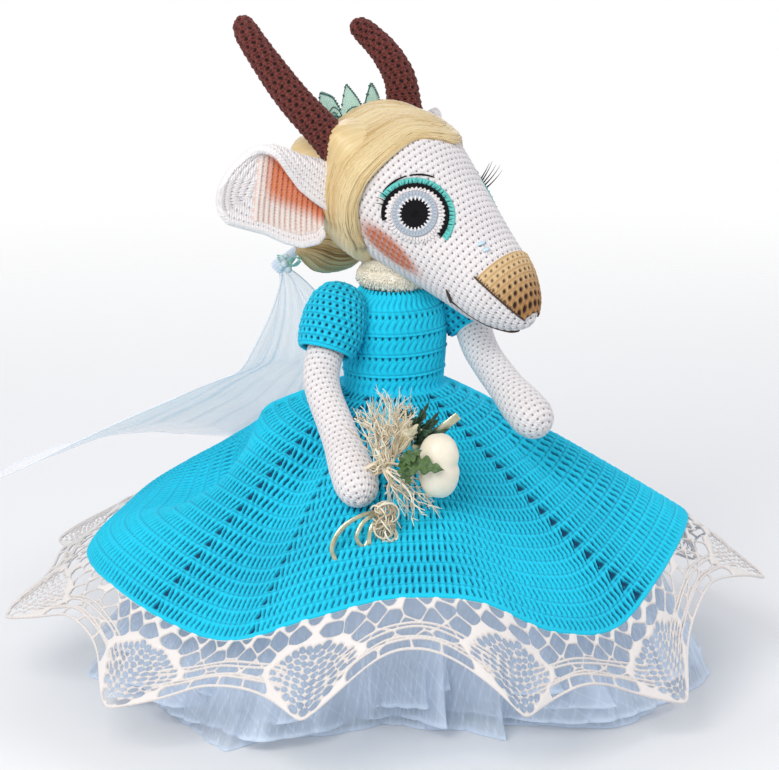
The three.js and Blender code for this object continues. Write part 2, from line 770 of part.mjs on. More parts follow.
function crownPiece() {
  const columns = 4 * crownLeaves;
  const wall = (radius) => range(columns + 1).map((i) => {
    const share = i / columns;
    const turn = headYawDegrees - 80 + share * 160;
    const { x, y } = around(turn, radius, 0).add(crownCentre);
    const lowest = headCentre.z + skullRadius * 0.5;
    const highest = headCentre.z + skullRadius * 0.86;
    const low = THREE.MathUtils.clamp(hairHeight(x, y), lowest, highest) - hairThickness * 0.2;
    const leaf = crownLeaf * Math.abs(Math.sin(share * crownLeaves * Math.PI)) ** 0.8;
    return range(4).map((j) => vector(x, y, low + (j / 3) * (crownBand + leaf)));
  });
  const band = inHeadFrame(sheet(wall(crownRadius + patchThickness), wall(crownRadius), false));
  return cutToOne(band, hairForm(seatGap), hornForm(-1, seatGap), hornForm(1, seatGap));
}

function gatherForm(extra) {
  const size = hairThickness;
  const top = veilTop.clone().add(vector(size * 0.3, -size * 0.6, size * 0.5));
  const low = veilTop.clone().add(vector(-size * 0.7, size * 0.9, -size * 1.1));
  const path = [top, top.clone().lerp(low, 0.5), low];
  return inHeadFrame(limb(path, hairThickness + extra, [[0, 0.5], [0.5, 0.7], [1, 1]], 6, 12));
}

function bowForm() {
  const size = hairThickness;
  const loopShares = [[0, 0.6], [0.7, 1], [1, 0.4]];
  const centre = veilTop.clone().add(vector(-size * 0.7, -size * 0.2, size * 0.3));
  const loops = [-1, 1].map((side) => {
    const end = centre.clone().add(vector(side * size * 0.5, -side * size, size * 0.5));
    const start = centre.clone().lerp(end, -0.4);
    return limb([start, centre.clone().lerp(end, 0.5), end], size * 0.5, loopShares, 5, 8);
  });
  return inHeadFrame(join(...loops));
}

// The drape's run from the gather outwards, as shares of the hem's radius and of the waist's height
const veilRunShares = [
  [0.46, 1.28], [0.5, 1.1], [0.55, 0.98], [0.72, 0.93], [1, 0.8], [1.32, 0.64], [1.48, 0.58],
];
const veilTurnDegrees = [-124, -215];

function veilPoint(along, across) {
  const lift = 1 - across;
  const { lerp, clamp } = THREE.MathUtils;
  const spread = 0.5 + (across - 0.5) * (0.2 + 0.8 * Math.min(along * 2, 1));
  const turn = lerp(veilTurnDegrees[0], veilTurnDegrees[1], spread);
  const place = along * (veilRunShares.length - 1);
  const k = Math.min(Math.floor(place), veilRunShares.length - 2);
  const [near, far] = [veilRunShares[k], veilRunShares[k + 1]];
  const radius = hemRadius * lerp(near[0], far[0], place - k) * (1 - 0.12 * across);
  const height = waistHeight * lerp(near[1], far[1], place - k);
  const share = clamp((radius - skirtInnerRadius) / (hemRadius - skirtInnerRadius), 0, 1);
  const floor = skirtPoint(turn, share).height + seatGap;
  const settle = clamp((along - 0.3) / 0.25, 0, 1);
  const low = height + (Math.min(floor, height) - height) * settle;
  const wave = tulleThickness * 2 * (1 + Math.sin(across * 25)) * along * (1 - 0.7 * across);
  return around(turn, radius, low + (height - low) * lift + wave);
}

function veilPiece() {
  const wall = (offset) => range(19).map((i) => range(7).map((j) => {
    const point = veilPoint(j / 6, i / 18);
    const flat = Math.hypot(point.x, point.y);
    const lean = offset * 0.7;
    return point.add(vector((point.x / flat) * lean, (point.y / flat) * lean, lean));
  }));
  const skirtProfile = (turn, t) => skirtPoint(turn, Math.max(t, 0));
  const under = turnedSheet(skirtProfile, 60, 6, -seatGap, hemHeight * 0.3);
  return cutToOne(sheet(wall(tulleThickness), wall(0), false), under);
}

// Bouquet

function bind() {
  return vector(-shoulderSpread * 1.69, -shoulderSpread * 2.63, shoulderHeight * 0.727);
}

function fromBind(x, y, z) {
  return bind().add(vector(x, y, z));
}

// A thin form of flat section, swelling in its middle
function blade(path, width, thickness, flat, swellShares, steps = 5, sides = 8) {
  const curve = new THREE.CatmullRomCurve3(path);
  const rings = range(steps + 1).slice(1, -1).map((k) => {
    const tangent = curve.getTangentAt(k / steps);
    const across = new THREE.Vector3().crossVectors(tangent, flat).normalize();
    const normal = new THREE.Vector3().crossVectors(across, tangent).normalize();
    const share = shareAt(swellShares, k / steps);
    return ring(curve.getPointAt(k / steps), across, normal, (width / 2) * share, thickness, sides);
  });
  return loft(rings, curve.getPointAt(0), curve.getPointAt(1));
}

const twigShares = [[0, 1], [0.5, 0.7], [1, 0.4]];

// Twigs as shares of the spray's reach, up and across in front of the doll
const twigTipShares = [
  [-0.05, 0.42, 0.95], [0.12, 0.36, 1.02], [0.3, 0.3, 1], [0.48, 0.24, 0.97], [-0.18, 0.38, 0.86],
  [0.6, -0.5, -0.35], [0.42, -0.62, -0.5], [0.2, -0.6, -0.62], [-0.02, -0.55, -0.72],
];

function rootsForm(extra) {
  const radius = twigRadius + extra;
  const coreShares = [[0, 0.7], [0.5, 1], [1, 0.7]];
  const corePath = [fromBind(0, 0, -bindRadius * 1.4), bind(), fromBind(0, 0, bindRadius * 1.4)];
  const core = limb(corePath, bindRadius + extra, coreShares, 4, 10);
  const twigs = twigTipShares.map(([x, y, z]) => {
    const tip = fromBind(x * sprayReach, y * sprayReach, z * sprayReach);
    const middle = bind().lerp(tip, 0.5).add(vector(-twigRadius, twigRadius, 0));
    return limb([bind(), middle, tip], radius, twigShares, 4, 5);
  });
  const fist = new THREE.CatmullRomCurve3(armPath(-1)).getPointAt(0.86);
  const handlePath = [bind(), bind().lerp(fist, 0.5), fist];
  const handle = limb(handlePath, bindRadius * 0.8 + extra, [[0, 1], [1, 1]], 3, 10);
  return cutToOne(join(core, handle, ...twigs), armForm(-1, seatGap));
}

function ballForm(extra) {
  const centre = fromBind(sprayReach * 0.7, -sprayReach * 0.57, sprayReach * 0.08);
  const rings = range(8).slice(1, -1).map((k) => {
    const angle = (k / 7) * Math.PI;
    const lobe = 1 - 0.1 * Math.sin(angle) ** 8;
    const radius = (ballRadius + extra) * Math.sin(angle) * lobe;
    const along = centre.clone().add(vector(0, 0, (ballRadius * 1.3 + extra) * Math.cos(angle)));
    return ring(along, vector(1, 0, 0), vector(0, 1, 0), radius, radius, 16);
  });
  const reach = ballRadius * 1.25 + extra;
  return loft(rings, centre.clone().add(vector(0, 0, reach)), centre.clone().add(vector(0, 0, -reach)));
}

function flowerForm(extra) {
  const base = fromBind(sprayReach * 0.18, -sprayReach * 0.02, sprayReach * 0.14);
  const end = fromBind(sprayReach * 0.44, -sprayReach * 0.08, sprayReach * 0.66);
  const budShares = [[0, 0.3], [0.5, 0.75], [0.85, 1], [1, 0.6]];
  return limb([base, base.clone().lerp(end, 0.5), end], flowerRadius + extra, budShares, 5, 12);
}

function bouquetPieces() {
  const facing = vector(-0.48, -0.84, 0.26);
  const place = ([x, y, z]) => fromBind(x * sprayReach, y * sprayReach, z * sprayReach);
  const leafEndShares = [
    [[0.3, 0.02, 0.3], [0.86, -0.02, 0.62]],
    [[0.3, 0.08, 0.36], [0.66, 0.12, 0.9]],
    [[0.36, -0.06, 0.28], [0.95, -0.14, 0.5]],
  ];
  const leafShares = [[0, 0.4], [0.4, 1], [0.8, 0.6], [1, 0.2]];
  const blades = leafEndShares.map(([from, to]) => {
    const path = [place(from), place(from).lerp(place(to), 0.5), place(to)];
    return blade(path, leafWidth, leafThickness, facing, leafShares);
  });
  const nodePath = [[0.26, 0.06, 0.26], [0.34, 0.04, 0.32], [0.44, 0.02, 0.42]].map(place);
  const leafNode = limb(nodePath, leafWidth * 0.3, [[0, 0.7], [0.5, 1], [1, 0.7]], 4, 8);
  const leaves = join(...blades, leafNode);
  const frontPath = [[0.3, -0.6, 0.1], [0.5, -0.92, 0.1], [0.72, -1.1, 0.12]].map(place);
  const frontLeaf = blade(frontPath, leafWidth * 1.5, leafThickness, facing, leafShares);
  const stemPath = [[0.62, -0.06, 0.3], [0.88, -0.2, 0.46], [1.12, -0.34, 0.58]].map(place);
  const stem = blade(stemPath, ribbonWidth, ribbonThickness, facing, [[0, 0.7], [0.5, 1], [1, 1]], 4);
  const curlPath = range(25).map((k) => {
    const turn = (k / 24) * 2 * Math.PI * 1.75;
    const grow = 0.6 + (0.4 * k) / 24;
    const across = -0.17 + 0.17 * grow * Math.cos(turn);
    return place([across, -0.44 - 0.01 * k, -0.64 + 0.2 * grow * Math.sin(turn)]);
  });
  const loops = blade(curlPath, ribbonWidth * 0.4, ribbonThickness, facing, [[0, 1], [1, 1]], 22, 6);
  const tailPath = [
    [-0.2, -0.06, -0.5], [-0.66, 0.02, -0.64], [-0.84, -0.05, -0.85], [-0.82, -0.12, -1.05],
  ].map(place);
  const tail = blade(tailPath, ribbonWidth * 0.5, ribbonThickness, facing, [[0, 1], [1, 0.7]], 9, 6);
  const roots = rootsForm(2 * seatGap);
  const ball = ballForm(seatGap);
  const flower = flowerForm(2 * seatGap);
  addPiece(group, 'bouquet_twigs', rootsForm(0), colours.root);
  addPiece(group, 'bouquet_ball', cut(ballForm(0), roots), colours.ivory, 0.5);
  addPiece(group, 'bouquet_flower', cutToOne(flowerForm(0), roots, ball), colours.cream);
  addPiece(group, 'bouquet_leaves', cutToOne(leaves, roots, ball, flower), colours.green);
  addPiece(group, 'bouquet_front_leaf', cutToOne(frontLeaf, roots, ball), colours.green);
  addPiece(group, 'bouquet_stem_ribbon', cutToOne(stem, roots, ball, leaves), colours.satin, 0.4);
  addPiece(group, 'bouquet_ribbon_loops', cutToOne(loops, roots), colours.satin, 0.4);
  const freeTail = cutToOne(tail, armForm(-1, seatGap), roots, loops);
  addPiece(group, 'bouquet_ribbon_tail', freeTail, colours.satin, 0.4);
}

addPiece(group, 'torso', torsoPiece(), colours.white);
addPiece(group, 'neck_dowel', rod(dowelRadius, dowelBottom, dowelTop), colours.wood, 0.7);
addPiece(group, 'bodice', bodicePiece(), colours.turquoise);
addPiece(group, 'leg_right', legPiece(-1), colours.white);
addPiece(group, 'leg_left', legPiece(1), colours.white);
addPiece(group, 'skirt', skirtPiece(), colours.turquoise);
addPiece(group, 'lace_hem', lacePiece(), colours.lace);
addPiece(group, 'petticoat', petticoatPiece(), colours.tulle);
addPiece(group, 'arm_right', armForm(-1, 0), colours.white);
addPiece(group, 'arm_left', armForm(1, 0), colours.white);
addPiece(group, 'sleeve_right', sleevePiece(-1), colours.turquoise);
addPiece(group, 'sleeve_left', sleevePiece(1), colours.turquoise);
addPiece(headGroup, 'head', headPiece(), colours.white);
addPiece(headGroup, 'nose_patch', nosePatchPiece(), colours.tan);
addPiece(headGroup, 'mouth_thread', mouthPiece(), colours.brown);
addPiece(headGroup, 'hair_cap', hairCapPiece(), colours.blonde);
addPiece(headGroup, 'hair_nape', cutToOne(napeForm(0), hairForm(seatGap)), colours.blonde);
addPiece(headGroup, 'neck_ruff', ruffPiece(), colours.cream);
for (const [side, label] of [[-1, 'right'], [1, 'left']]) {
  addPiece(headGroup, `horn_${label}`, hornPiece(side), colours.brown);
  addPiece(headGroup, `ear_${label}`, earPiece(side), colours.white);
  addPiece(headGroup, `ear_lining_${label}`, earLiningPiece(side), colours.terracotta);
  eyePieces(side, label);
}
addPiece(headGroup, 'crown', crownPiece(), colours.teal);
addPiece(headGroup, 'veil_gather', cutToOne(gatherForm(0), napeForm(seatGap)), colours.tulle);
addPiece(headGroup, 'veil_bow', cutToOne(bowForm(), napeForm(seatGap), gatherForm(seatGap)), colours.teal);
addPiece(group, 'veil_drape', veilPiece(), colours.tulle);

bouquetPieces();

// The origin is the middle of the doll's footprint, on the surface that it stands on
group.updateMatrixWorld(true);
const footprint = new THREE.Box3().setFromObject(group).getCenter(new THREE.Vector3());
group.position.set(-footprint.x, -footprint.y, 0);

export default group;
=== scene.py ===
import math

import bpy
import numpy as np
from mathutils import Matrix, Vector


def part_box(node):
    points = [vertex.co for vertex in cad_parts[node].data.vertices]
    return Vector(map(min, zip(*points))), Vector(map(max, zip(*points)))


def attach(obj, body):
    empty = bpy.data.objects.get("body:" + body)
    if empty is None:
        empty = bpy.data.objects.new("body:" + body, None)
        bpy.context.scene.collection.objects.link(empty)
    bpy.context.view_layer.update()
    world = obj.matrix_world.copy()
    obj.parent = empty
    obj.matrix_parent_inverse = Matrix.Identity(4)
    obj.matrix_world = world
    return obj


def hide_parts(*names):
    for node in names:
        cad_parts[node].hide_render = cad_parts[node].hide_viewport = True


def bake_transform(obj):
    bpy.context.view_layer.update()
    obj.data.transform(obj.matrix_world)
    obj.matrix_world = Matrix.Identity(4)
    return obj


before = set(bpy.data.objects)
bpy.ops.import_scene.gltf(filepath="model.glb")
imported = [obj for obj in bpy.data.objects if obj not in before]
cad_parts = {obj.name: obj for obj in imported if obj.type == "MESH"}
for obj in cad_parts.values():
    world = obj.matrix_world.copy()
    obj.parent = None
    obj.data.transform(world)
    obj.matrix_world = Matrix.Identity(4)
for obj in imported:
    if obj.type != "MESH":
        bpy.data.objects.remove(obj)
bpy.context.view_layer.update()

# Places are in millimetres from the floor under the neck's dowel until place() turns them into metres
MM = 0.001
dowel_low, dowel_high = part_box("neck_dowel")
AXIS = np.array([(dowel_low.x + dowel_high.x) / 2, (dowel_low.y + dowel_high.y) / 2, 0.0])

# The photograph's view
VIEW_TURN = math.radians(-30)
VIEW_RISE = math.radians(15)
VIEW_DISTANCE = 1600.0
VIEW_HEIGHT = 176.0
FRAME_PIXELS = 779
FOCAL_PIXELS = 2667
SENSOR = 36.0
SHIFT_PIXELS = 4.5


def place(points):
    return np.asarray(points, float) * MM + AXIS


def stitch_places(across, rows):
    """The stitch attribute of a grid: stitches across and rows up."""
    return np.stack([across, rows, 0 * rows], -1).reshape(-1, 3)


def unit(v):
    v = np.asarray(v, float)
    return v / np.maximum(np.linalg.norm(v, axis=-1, keepdims=True), 1e-9)


TO_CAMERA = np.array([
    math.sin(VIEW_TURN) * math.cos(VIEW_RISE),
    -math.cos(VIEW_TURN) * math.cos(VIEW_RISE),
    math.sin(VIEW_RISE),
])

scene = bpy.context.scene


def add_camera():
    data = bpy.data.cameras.new("view")
    data.sensor_width = SENSOR
    data.lens = SENSOR * FOCAL_PIXELS / FRAME_PIXELS
    data.shift_x = -SHIFT_PIXELS / FRAME_PIXELS
    data.clip_end = 50
    camera = bpy.data.objects.new("view", data)
    scene.collection.objects.link(camera)
    target = place([0, 0, VIEW_HEIGHT])
    camera.location = target + TO_CAMERA * VIEW_DISTANCE * MM
    camera.rotation_euler = (math.pi / 2 - VIEW_RISE, 0, VIEW_TURN)
    scene.camera = camera


add_camera()

# Curves and grids


def smooth_path(points, count):
    """Points at equal distances along a smooth curve through the given ones."""
    p = np.asarray(points, float)
    ext = np.concatenate([2 * p[:1] - p[1:2], p, 2 * p[-1:] - p[-2:-1]])
    t = np.linspace(0, 1, 24, endpoint=False)[:, None]
    fine = []
    for k in range(len(p) - 1):
        a, b, c, d = ext[k:k + 4]
        fine.append(0.5 * (2 * b + (c - a) * t + (2 * a - 5 * b + 4 * c - d) * t**2
                           + (3 * b - a - 3 * c + d) * t**3))
    fine = np.concatenate(fine + [p[-1:]])
    run = np.concatenate([[0], np.cumsum(np.linalg.norm(np.diff(fine, axis=0), axis=1))])
    at = np.linspace(0, run[-1], count)
    return np.stack([np.interp(at, run, fine[:, k]) for k in range(p.shape[1])], 1)


def run_length(path):
    return np.concatenate([[0], np.cumsum(np.linalg.norm(np.diff(path, axis=0), axis=1))])


def shares(table, at):
    """The value at a place in a table of (place, value) pairs, with its corners eased."""
    xs, ys = np.array(table, float).T
    fine = np.linspace(xs[0], xs[-1], 801)
    values = np.interp(fine, xs, ys)
    reach = 21
    padded = np.concatenate([np.full(reach, values[0]), values, np.full(reach, values[-1])])
    bell = np.exp(-np.linspace(-2, 2, 2 * reach + 1) ** 2)
    return np.interp(at, fine, np.convolve(padded, bell / bell.sum(), "valid"))


def cyclic(table, turn, start=-120.0):
    """The value at a turn in a closed table of equal steps, which starts at the turn start."""
    table = np.asarray(table, float)
    n = len(table)
    at = (((np.asarray(turn, float) - start) / 360) % 1) * n
    k = np.floor(at).astype(int)
    t = at - k
    a, b, c, d = (table[(k + m) % n] for m in (-1, 0, 1, 2))
    return 0.5 * (2 * b + (c - a) * t + (2 * a - 5 * b + 4 * c - d) * t**2 + (3 * b - a - 3 * c + d) * t**3)


def grid_faces(nu, nv, wrap=False, flip=False, keep=None):
    i, j = np.meshgrid(np.arange(nu if wrap else nu - 1), np.arange(nv - 1), indexing="ij")
    a = i * nv + j
    b = ((i + 1) % nu) * nv + j
    quads = np.stack([a, b, b + 1, a + 1], -1).reshape(-1, 4)
    if keep is not None:
        quads = quads[keep.ravel()]
    return quads[:, ::-1] if flip else quads


def grid_normals(p, wrap=False):
    du = np.roll(p, -1, 0) - np.roll(p, 1, 0) if wrap else np.gradient(p, axis=0)
    return unit(np.cross(du, np.gradient(p, axis=1)))


def frames_along(paths):
    """Tangents and two normals along many paths of one length, without twist."""
    t = unit(np.gradient(paths, axis=1))
    ref = np.where(np.abs(t[:, 0, 2:3]) < 0.8, [[0.0, 0.0, 1.0]], [[1.0, 0.0, 0.0]])
    normal = unit(np.cross(t[:, 0], ref))
    firsts = [normal]
    for k in range(1, paths.shape[1]):
        normal = unit(normal - (normal * t[:, k]).sum(1, keepdims=True) * t[:, k])
        firsts.append(normal)
    first = np.stack(firsts, 1)
    return t, first, np.cross(t, first)


def tubes(paths, radii, sides=6, flat=1.0, across=None):
    """Closed round or flat tubes along many paths: points, quads, triangles, shares, path numbers."""
    paths = np.asarray(paths, float)
    if paths.ndim == 2:
        paths = paths[None]
    m, n = paths.shape[:2]
    radii = np.broadcast_to(np.asarray(radii, float), (m, n))
    t, first, second = frames_along(paths)
    if across is not None:
        first = unit(np.cross(t, np.broadcast_to(across, t.shape)))
        second = np.cross(t, first)
    turn = np.linspace(0, 2 * np.pi, sides, endpoint=False)
    ring = (first[:, :, None] * np.cos(turn)[:, None] + flat * second[:, :, None] * np.sin(turn)[:, None])
    points = (paths[:, :, None] + radii[:, :, None, None] * ring).reshape(-1, 3)
    j, i = np.meshgrid(np.arange(n - 1), np.arange(sides), indexing="ij")
    a = j * sides + i
    b = j * sides + (i + 1) % sides
    quads = np.stack([a, b, b + sides, a + sides], -1).reshape(-1, 4)
    base = (np.arange(m) * n * sides)[:, None, None]
    quads = (quads[None] + base).reshape(-1, 4)
    ends = np.concatenate([paths[:, 0], paths[:, -1]])
    k = np.arange(sides)
    start = np.stack([(k + 1) % sides, k], -1)
    last = (n - 1) * sides + np.stack([k, (k + 1) % sides], -1)
    count = m * n * sides
    tris = []
    for pair, offset in ((start, 0), (last, m)):
        rim = pair[None] + base
        hub = np.broadcast_to((count + offset + np.arange(m))[:, None, None], (m, sides, 1))
        tris.append(np.concatenate([rim, hub], -1).reshape(-1, 3))
    share = np.repeat(np.tile(np.linspace(0, 1, n), m), sides)
    share = np.concatenate([share, np.zeros(m), np.ones(m)])
    order = np.concatenate([np.repeat(np.arange(m), n * sides), np.arange(m), np.arange(m)])
    return np.concatenate([points, ends]), quads, np.concatenate(tris), share, order


class Heap:
    """Gathers points and faces, with attributes per point, for one mesh."""

    def __init__(self):
        self.points, self.quads, self.tris, self.values, self.count = [], [], [], {}, 0

    def add(self, points, quads=None, tris=None, **values):
        points = np.asarray(points, float).reshape(-1, 3)
        if quads is not None and len(quads):
            self.quads.append(np.asarray(quads) + self.count)
        if tris is not None and len(tris):
            self.tris.append(np.asarray(tris) + self.count)
        for name, value in values.items():
            value = np.asarray(value, float)
            full = np.broadcast_to(value, (len(points),) + value.shape[1:] if value.ndim else (len(points),))
            self.values.setdefault(name, []).append((self.count, full))
        self.points.append(points)
        self.count += len(points)

    def tube(self, paths, radii, sides=6, flat=1.0, across=None, tone=None, **values):
        points, quads, tris, _, order = tubes(paths, radii, sides, flat, across)
        if tone is not None:
            values["tone"] = np.asarray(tone, float)[order] if np.ndim(tone) else tone
        self.add(points, quads, tris, **values)

    def piece(self, name, material):
        points = place(np.concatenate(self.points))
        quads = np.concatenate(self.quads) if self.quads else np.zeros((0, 4), int)
        tris = np.concatenate(self.tris) if self.tris else np.zeros((0, 3), int)
        used = np.zeros(len(points), bool)
        used[quads.ravel()] = True
        used[tris.ravel()] = True
        new = np.cumsum(used) - 1
        mesh = bpy.data.meshes.new(name)
        mesh.vertices.add(int(used.sum()))
        mesh.vertices.foreach_set("co", points[used].astype(np.float32).ravel())
        corners = np.concatenate([new[quads].ravel(), new[tris].ravel()]).astype(np.int32)
        starts = np.concatenate([np.arange(len(quads)) * 4, len(quads) * 4 + np.arange(len(tris)) * 3])
        mesh.loops.add(len(corners))
        mesh.loops.foreach_set("vertex_index", corners)
        mesh.polygons.add(len(quads) + len(tris))
        mesh.polygons.foreach_set("loop_start", starts.astype(np.int32))
        mesh.polygons.foreach_set("use_smooth", np.full(len(starts), True))
        mesh.update(calc_edges=True)
        for key, runs in self.values.items():
            width = 3 if any(v.ndim == 2 for _, v in runs) else 1
            whole = np.zeros((len(points), width), np.float32)
            for first, v in runs:
                whole[first:first + len(v)] = v.reshape(len(v), -1)
            kind = "FLOAT_VECTOR" if width == 3 else "FLOAT"
            layer = mesh.attributes.new(key, kind, "POINT")
            layer.data.foreach_set("vector" if width == 3 else "value", whole[used].ravel())
        obj = bpy.data.objects.new(name, mesh)
        scene.collection.objects.link(obj)
        mesh.materials.append(material)
        return obj


def finish_piece(obj, body, slot, *nodes):
    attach(obj, body)
    if nodes:
        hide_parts(*nodes)

# Materials


class Paint:
    """A material with a few short calls for its nodes."""

    def __init__(self, name, roughness=0.85):
        self.material = bpy.data.materials.new(name)
        self.material.use_nodes = True
        self.tree = self.material.node_tree
        self.shader = self.tree.nodes["Principled BSDF"]
        self.shader.inputs["Roughness"].default_value = roughness
        self.where = None

    def set(self, **values):
        for name, value in values.items():
            self.shader.inputs[name.replace("_", " ")].default_value = value

    def node(self, kind, inputs=None, **settings):
        made = self.tree.nodes.new(kind)
        for name, value in settings.items():
            setattr(made, name, value)
        for key, value in (inputs or {}).items():
            socket = made.inputs[key]
            if isinstance(value, bpy.types.NodeSocket):
                self.tree.links.new(value, socket)
            else:
                socket.default_value = value
        return made

    def link(self, source, target):
        if isinstance(target, str):
            target = self.shader.inputs[target]
        self.tree.links.new(source, target)

    def attribute(self, name, output="Fac"):
        return self.node("ShaderNodeAttribute", attribute_name=name).outputs[output]

    def position(self):
        if self.where is None:
            self.where = self.node("ShaderNodeTexCoord").outputs["Object"]
        return self.where

    def noise(self, scale, detail=3.0, roughness=0.55):
        inputs = {"Vector": self.position(), "Scale": scale, "Detail": detail, "Roughness": roughness}
        return self.node("ShaderNodeTexNoise", inputs).outputs["Fac"]

    def ramp(self, factor, *stops):
        made = self.node("ShaderNodeValToRGB", {"Fac": factor})
        elements = made.color_ramp.elements
        while len(elements) < len(stops):
            elements.new(0.5)
        for element, (at, colour) in zip(elements, stops):
            element.position = at
            element.color = (*colour, 1) if len(colour) == 3 else colour
        return made.outputs["Color"]

    def mix(self, factor, a, b):
        made = self.node("ShaderNodeMix", data_type="RGBA")
        for socket, value in ((made.inputs[0], factor), (made.inputs[6], a), (made.inputs[7], b)):
            if isinstance(value, bpy.types.NodeSocket):
                self.tree.links.new(value, socket)
            else:
                socket.default_value = (*value, 1) if isinstance(value, tuple) else value
        return made.outputs[2]

    def math(self, operation, a, b=0.0, clamp=False):
        made = self.node("ShaderNodeMath", operation=operation, use_clamp=clamp)
        for socket, value in zip(made.inputs, (a, b)):
            if isinstance(value, bpy.types.NodeSocket):
                self.tree.links.new(value, socket)
            else:
                socket.default_value = value
        return made.outputs[0]

    def bump(self, height, strength, distance, normal=None):
        made = self.node("ShaderNodeBump", {"Height": height, "Strength": strength, "Distance": distance})
        if normal is not None:
            self.tree.links.new(normal, made.inputs["Normal"])
        return made.outputs["Normal"]


def linear(code):
    """A display colour, written as six hexadecimal digits, as linear values."""
    parts = [int(code[k:k + 2], 16) / 255 for k in (0, 2, 4)]
    return tuple(c / 12.92 if c <= 0.04045 else ((c + 0.055) / 1.055) ** 2.4 for c in parts)


def yarn(name, light, dark, hole, sheen=0.1, roughness=0.8, stain=None):
    """Crocheted yarn: painted shade between the stitches and a deeper painted shade in the holes, with plied
    fibres on top.
    """
    paint = Paint(name, roughness)
    patchy = paint.noise(38.0, 2.0)
    fine = paint.noise(900.0, 3.0, 0.6)
    tint = paint.ramp(patchy, (0.3, tuple(0.93 * c for c in light)), (0.7, light))
    if stain is not None:
        tint = paint.mix(paint.attribute("stain"), tint, stain)
    worn = paint.mix(paint.math("MULTIPLY", fine, 0.16), tint, tuple(0.55 * c for c in light))
    # painted shade: the dark colour goes between the stitches and the hole colour, darker still, into the
    # holes
    shaded = paint.mix(paint.attribute("cavity"), worn, dark)
    paint.link(paint.mix(paint.attribute("hole"), shaded, hole), "Base Color")
    ply = paint.node("ShaderNodeTexWave", {"Vector": paint.attribute("stitch", "Vector"), "Scale": 1.3,
                                           "Distortion": 1.5, "Detail": 1.0, "Detail Scale": 2.0},
                     wave_type="BANDS", bands_direction="DIAGONAL").outputs["Fac"]
    fibres = paint.bump(paint.noise(2600.0, 2.0), 0.35, 0.0004)
    paint.link(paint.bump(ply, 0.35, 0.0005, fibres), "Normal")
    paint.set(Sheen_Weight=sheen, Sheen_Roughness=0.5, Specular_IOR_Level=0.3)
    return paint.material


WHITE = linear("f4efee")
TURQUOISE = linear("16d6f6")

# Each yarn's second colour is its painted shade between the stitches and its third the deeper painted shade
# in its holes
white_yarn = yarn("white_yarn", WHITE, linear("c9c0c4"), linear("62565c"))
blush_yarn = yarn("blushed_yarn", WHITE, linear("c9c0c4"), linear("5c4f54"), stain=linear("bf5a14"))
turquoise_yarn = yarn("turquoise_yarn", TURQUOISE, linear("0a8db4"), linear("053f63"), sheen=0.05)
brown_yarn = yarn("horn_yarn", linear("7b3a31"), linear("381416"), linear("150606"), sheen=0.1)
tan_yarn = yarn("nose_yarn", linear("e4c493"), linear("a06e3a"), linear("2e150a"), stain=linear("b07a40"))
lining_yarn = yarn("ear_lining_yarn", linear("f7efea"), linear("cf8d66"), linear("9c4322"),
                   stain=linear("dd6c33"))
lid_yarn = yarn("lid_yarn", linear("6ed3cb"), linear("2f9d98"), linear("12504f"))
black_yarn = yarn("black_yarn", linear("0f0e13"), linear("060609"), linear("020203"), sheen=0.0,
                  roughness=1.0)
iris_yarn = yarn("iris_yarn", linear("b9c3cd"), linear("8d9aa8"), linear("667280"))


def thread(name, light, dark, roughness=0.7):
    """Loose thread or lace cord, varied along each strand."""
    paint = Paint(name, roughness)
    grain = paint.noise(1400.0, 3.0)
    tone = paint.math("ADD", paint.math("MULTIPLY", paint.attribute("tone"), 0.7),
                      paint.math("MULTIPLY", grain, 0.3))
    paint.link(paint.ramp(tone, (0.1, dark), (0.75, light)), "Base Color")
    paint.link(paint.bump(grain, 0.4, 0.0004), "Normal")
    paint.set(Sheen_Weight=0.2, Sheen_Roughness=0.5)
    return paint.material


lace_thread = thread("lace_thread", linear("e6e0dc"), linear("bcb2ac"))
dark_thread = thread("dark_thread", linear("55341f"), linear("24150e"))


def hair(name, light, middle, dark):
    paint = Paint(name, 0.42)
    streak = paint.attribute("tone")
    soft = paint.noise(90.0, 2.0)
    mixed = paint.math("ADD", paint.math("MULTIPLY", streak, 0.75), paint.math("MULTIPLY", soft, 0.3))
    paint.link(paint.ramp(mixed, (0.0, dark), (0.38, middle), (0.85, light)), "Base Color")
    paint.link(paint.bump(paint.noise(1800.0, 2.0), 0.2, 0.0003), "Normal")
    paint.set(Sheen_Weight=0.35, Sheen_Roughness=0.4)
    return paint.material


blonde_hair = hair("blonde_roving", linear("e4ce9e"), linear("d1b37c"), linear("9c7640"))
cream_fluff = hair("cream_fleece", linear("f8f2e4"), linear("eee4cc"), linear("d3c4a0"))


def tulle(name, colour, cover, edge_cover):
    """Fine net, partly see-through, denser along its folds and edges, with a faint glow in its own colour:
    painted light that brightens its shaded layers.
    """
    paint = Paint(name, 0.6)
    cloud = paint.noise(30.0, 3.0)
    paint.link(paint.ramp(cloud, (0.3, tuple(0.94 * c for c in colour)), (0.7, colour)), "Base Color")
    dense = paint.math("ADD", cover, paint.math("MULTIPLY", paint.attribute("tone"), edge_cover - cover))
    vary = paint.math("MULTIPLY", paint.math("SUBTRACT", cloud, 0.5), 0.25)
    paint.link(paint.math("ADD", dense, vary, clamp=True), "Alpha")
    # the emission is painted light, a faint glow in the tulle's own colour
    paint.set(Sheen_Weight=0.5, Sheen_Roughness=0.5, Emission_Color=(*colour, 1), Emission_Strength=0.07)
    return paint.material


petticoat_tulle = tulle("petticoat_tulle", linear("d5e3f5"), 0.42, 0.92)
veil_tulle = tulle("veil_tulle", linear("f3f7fd"), 0.4, 0.85)


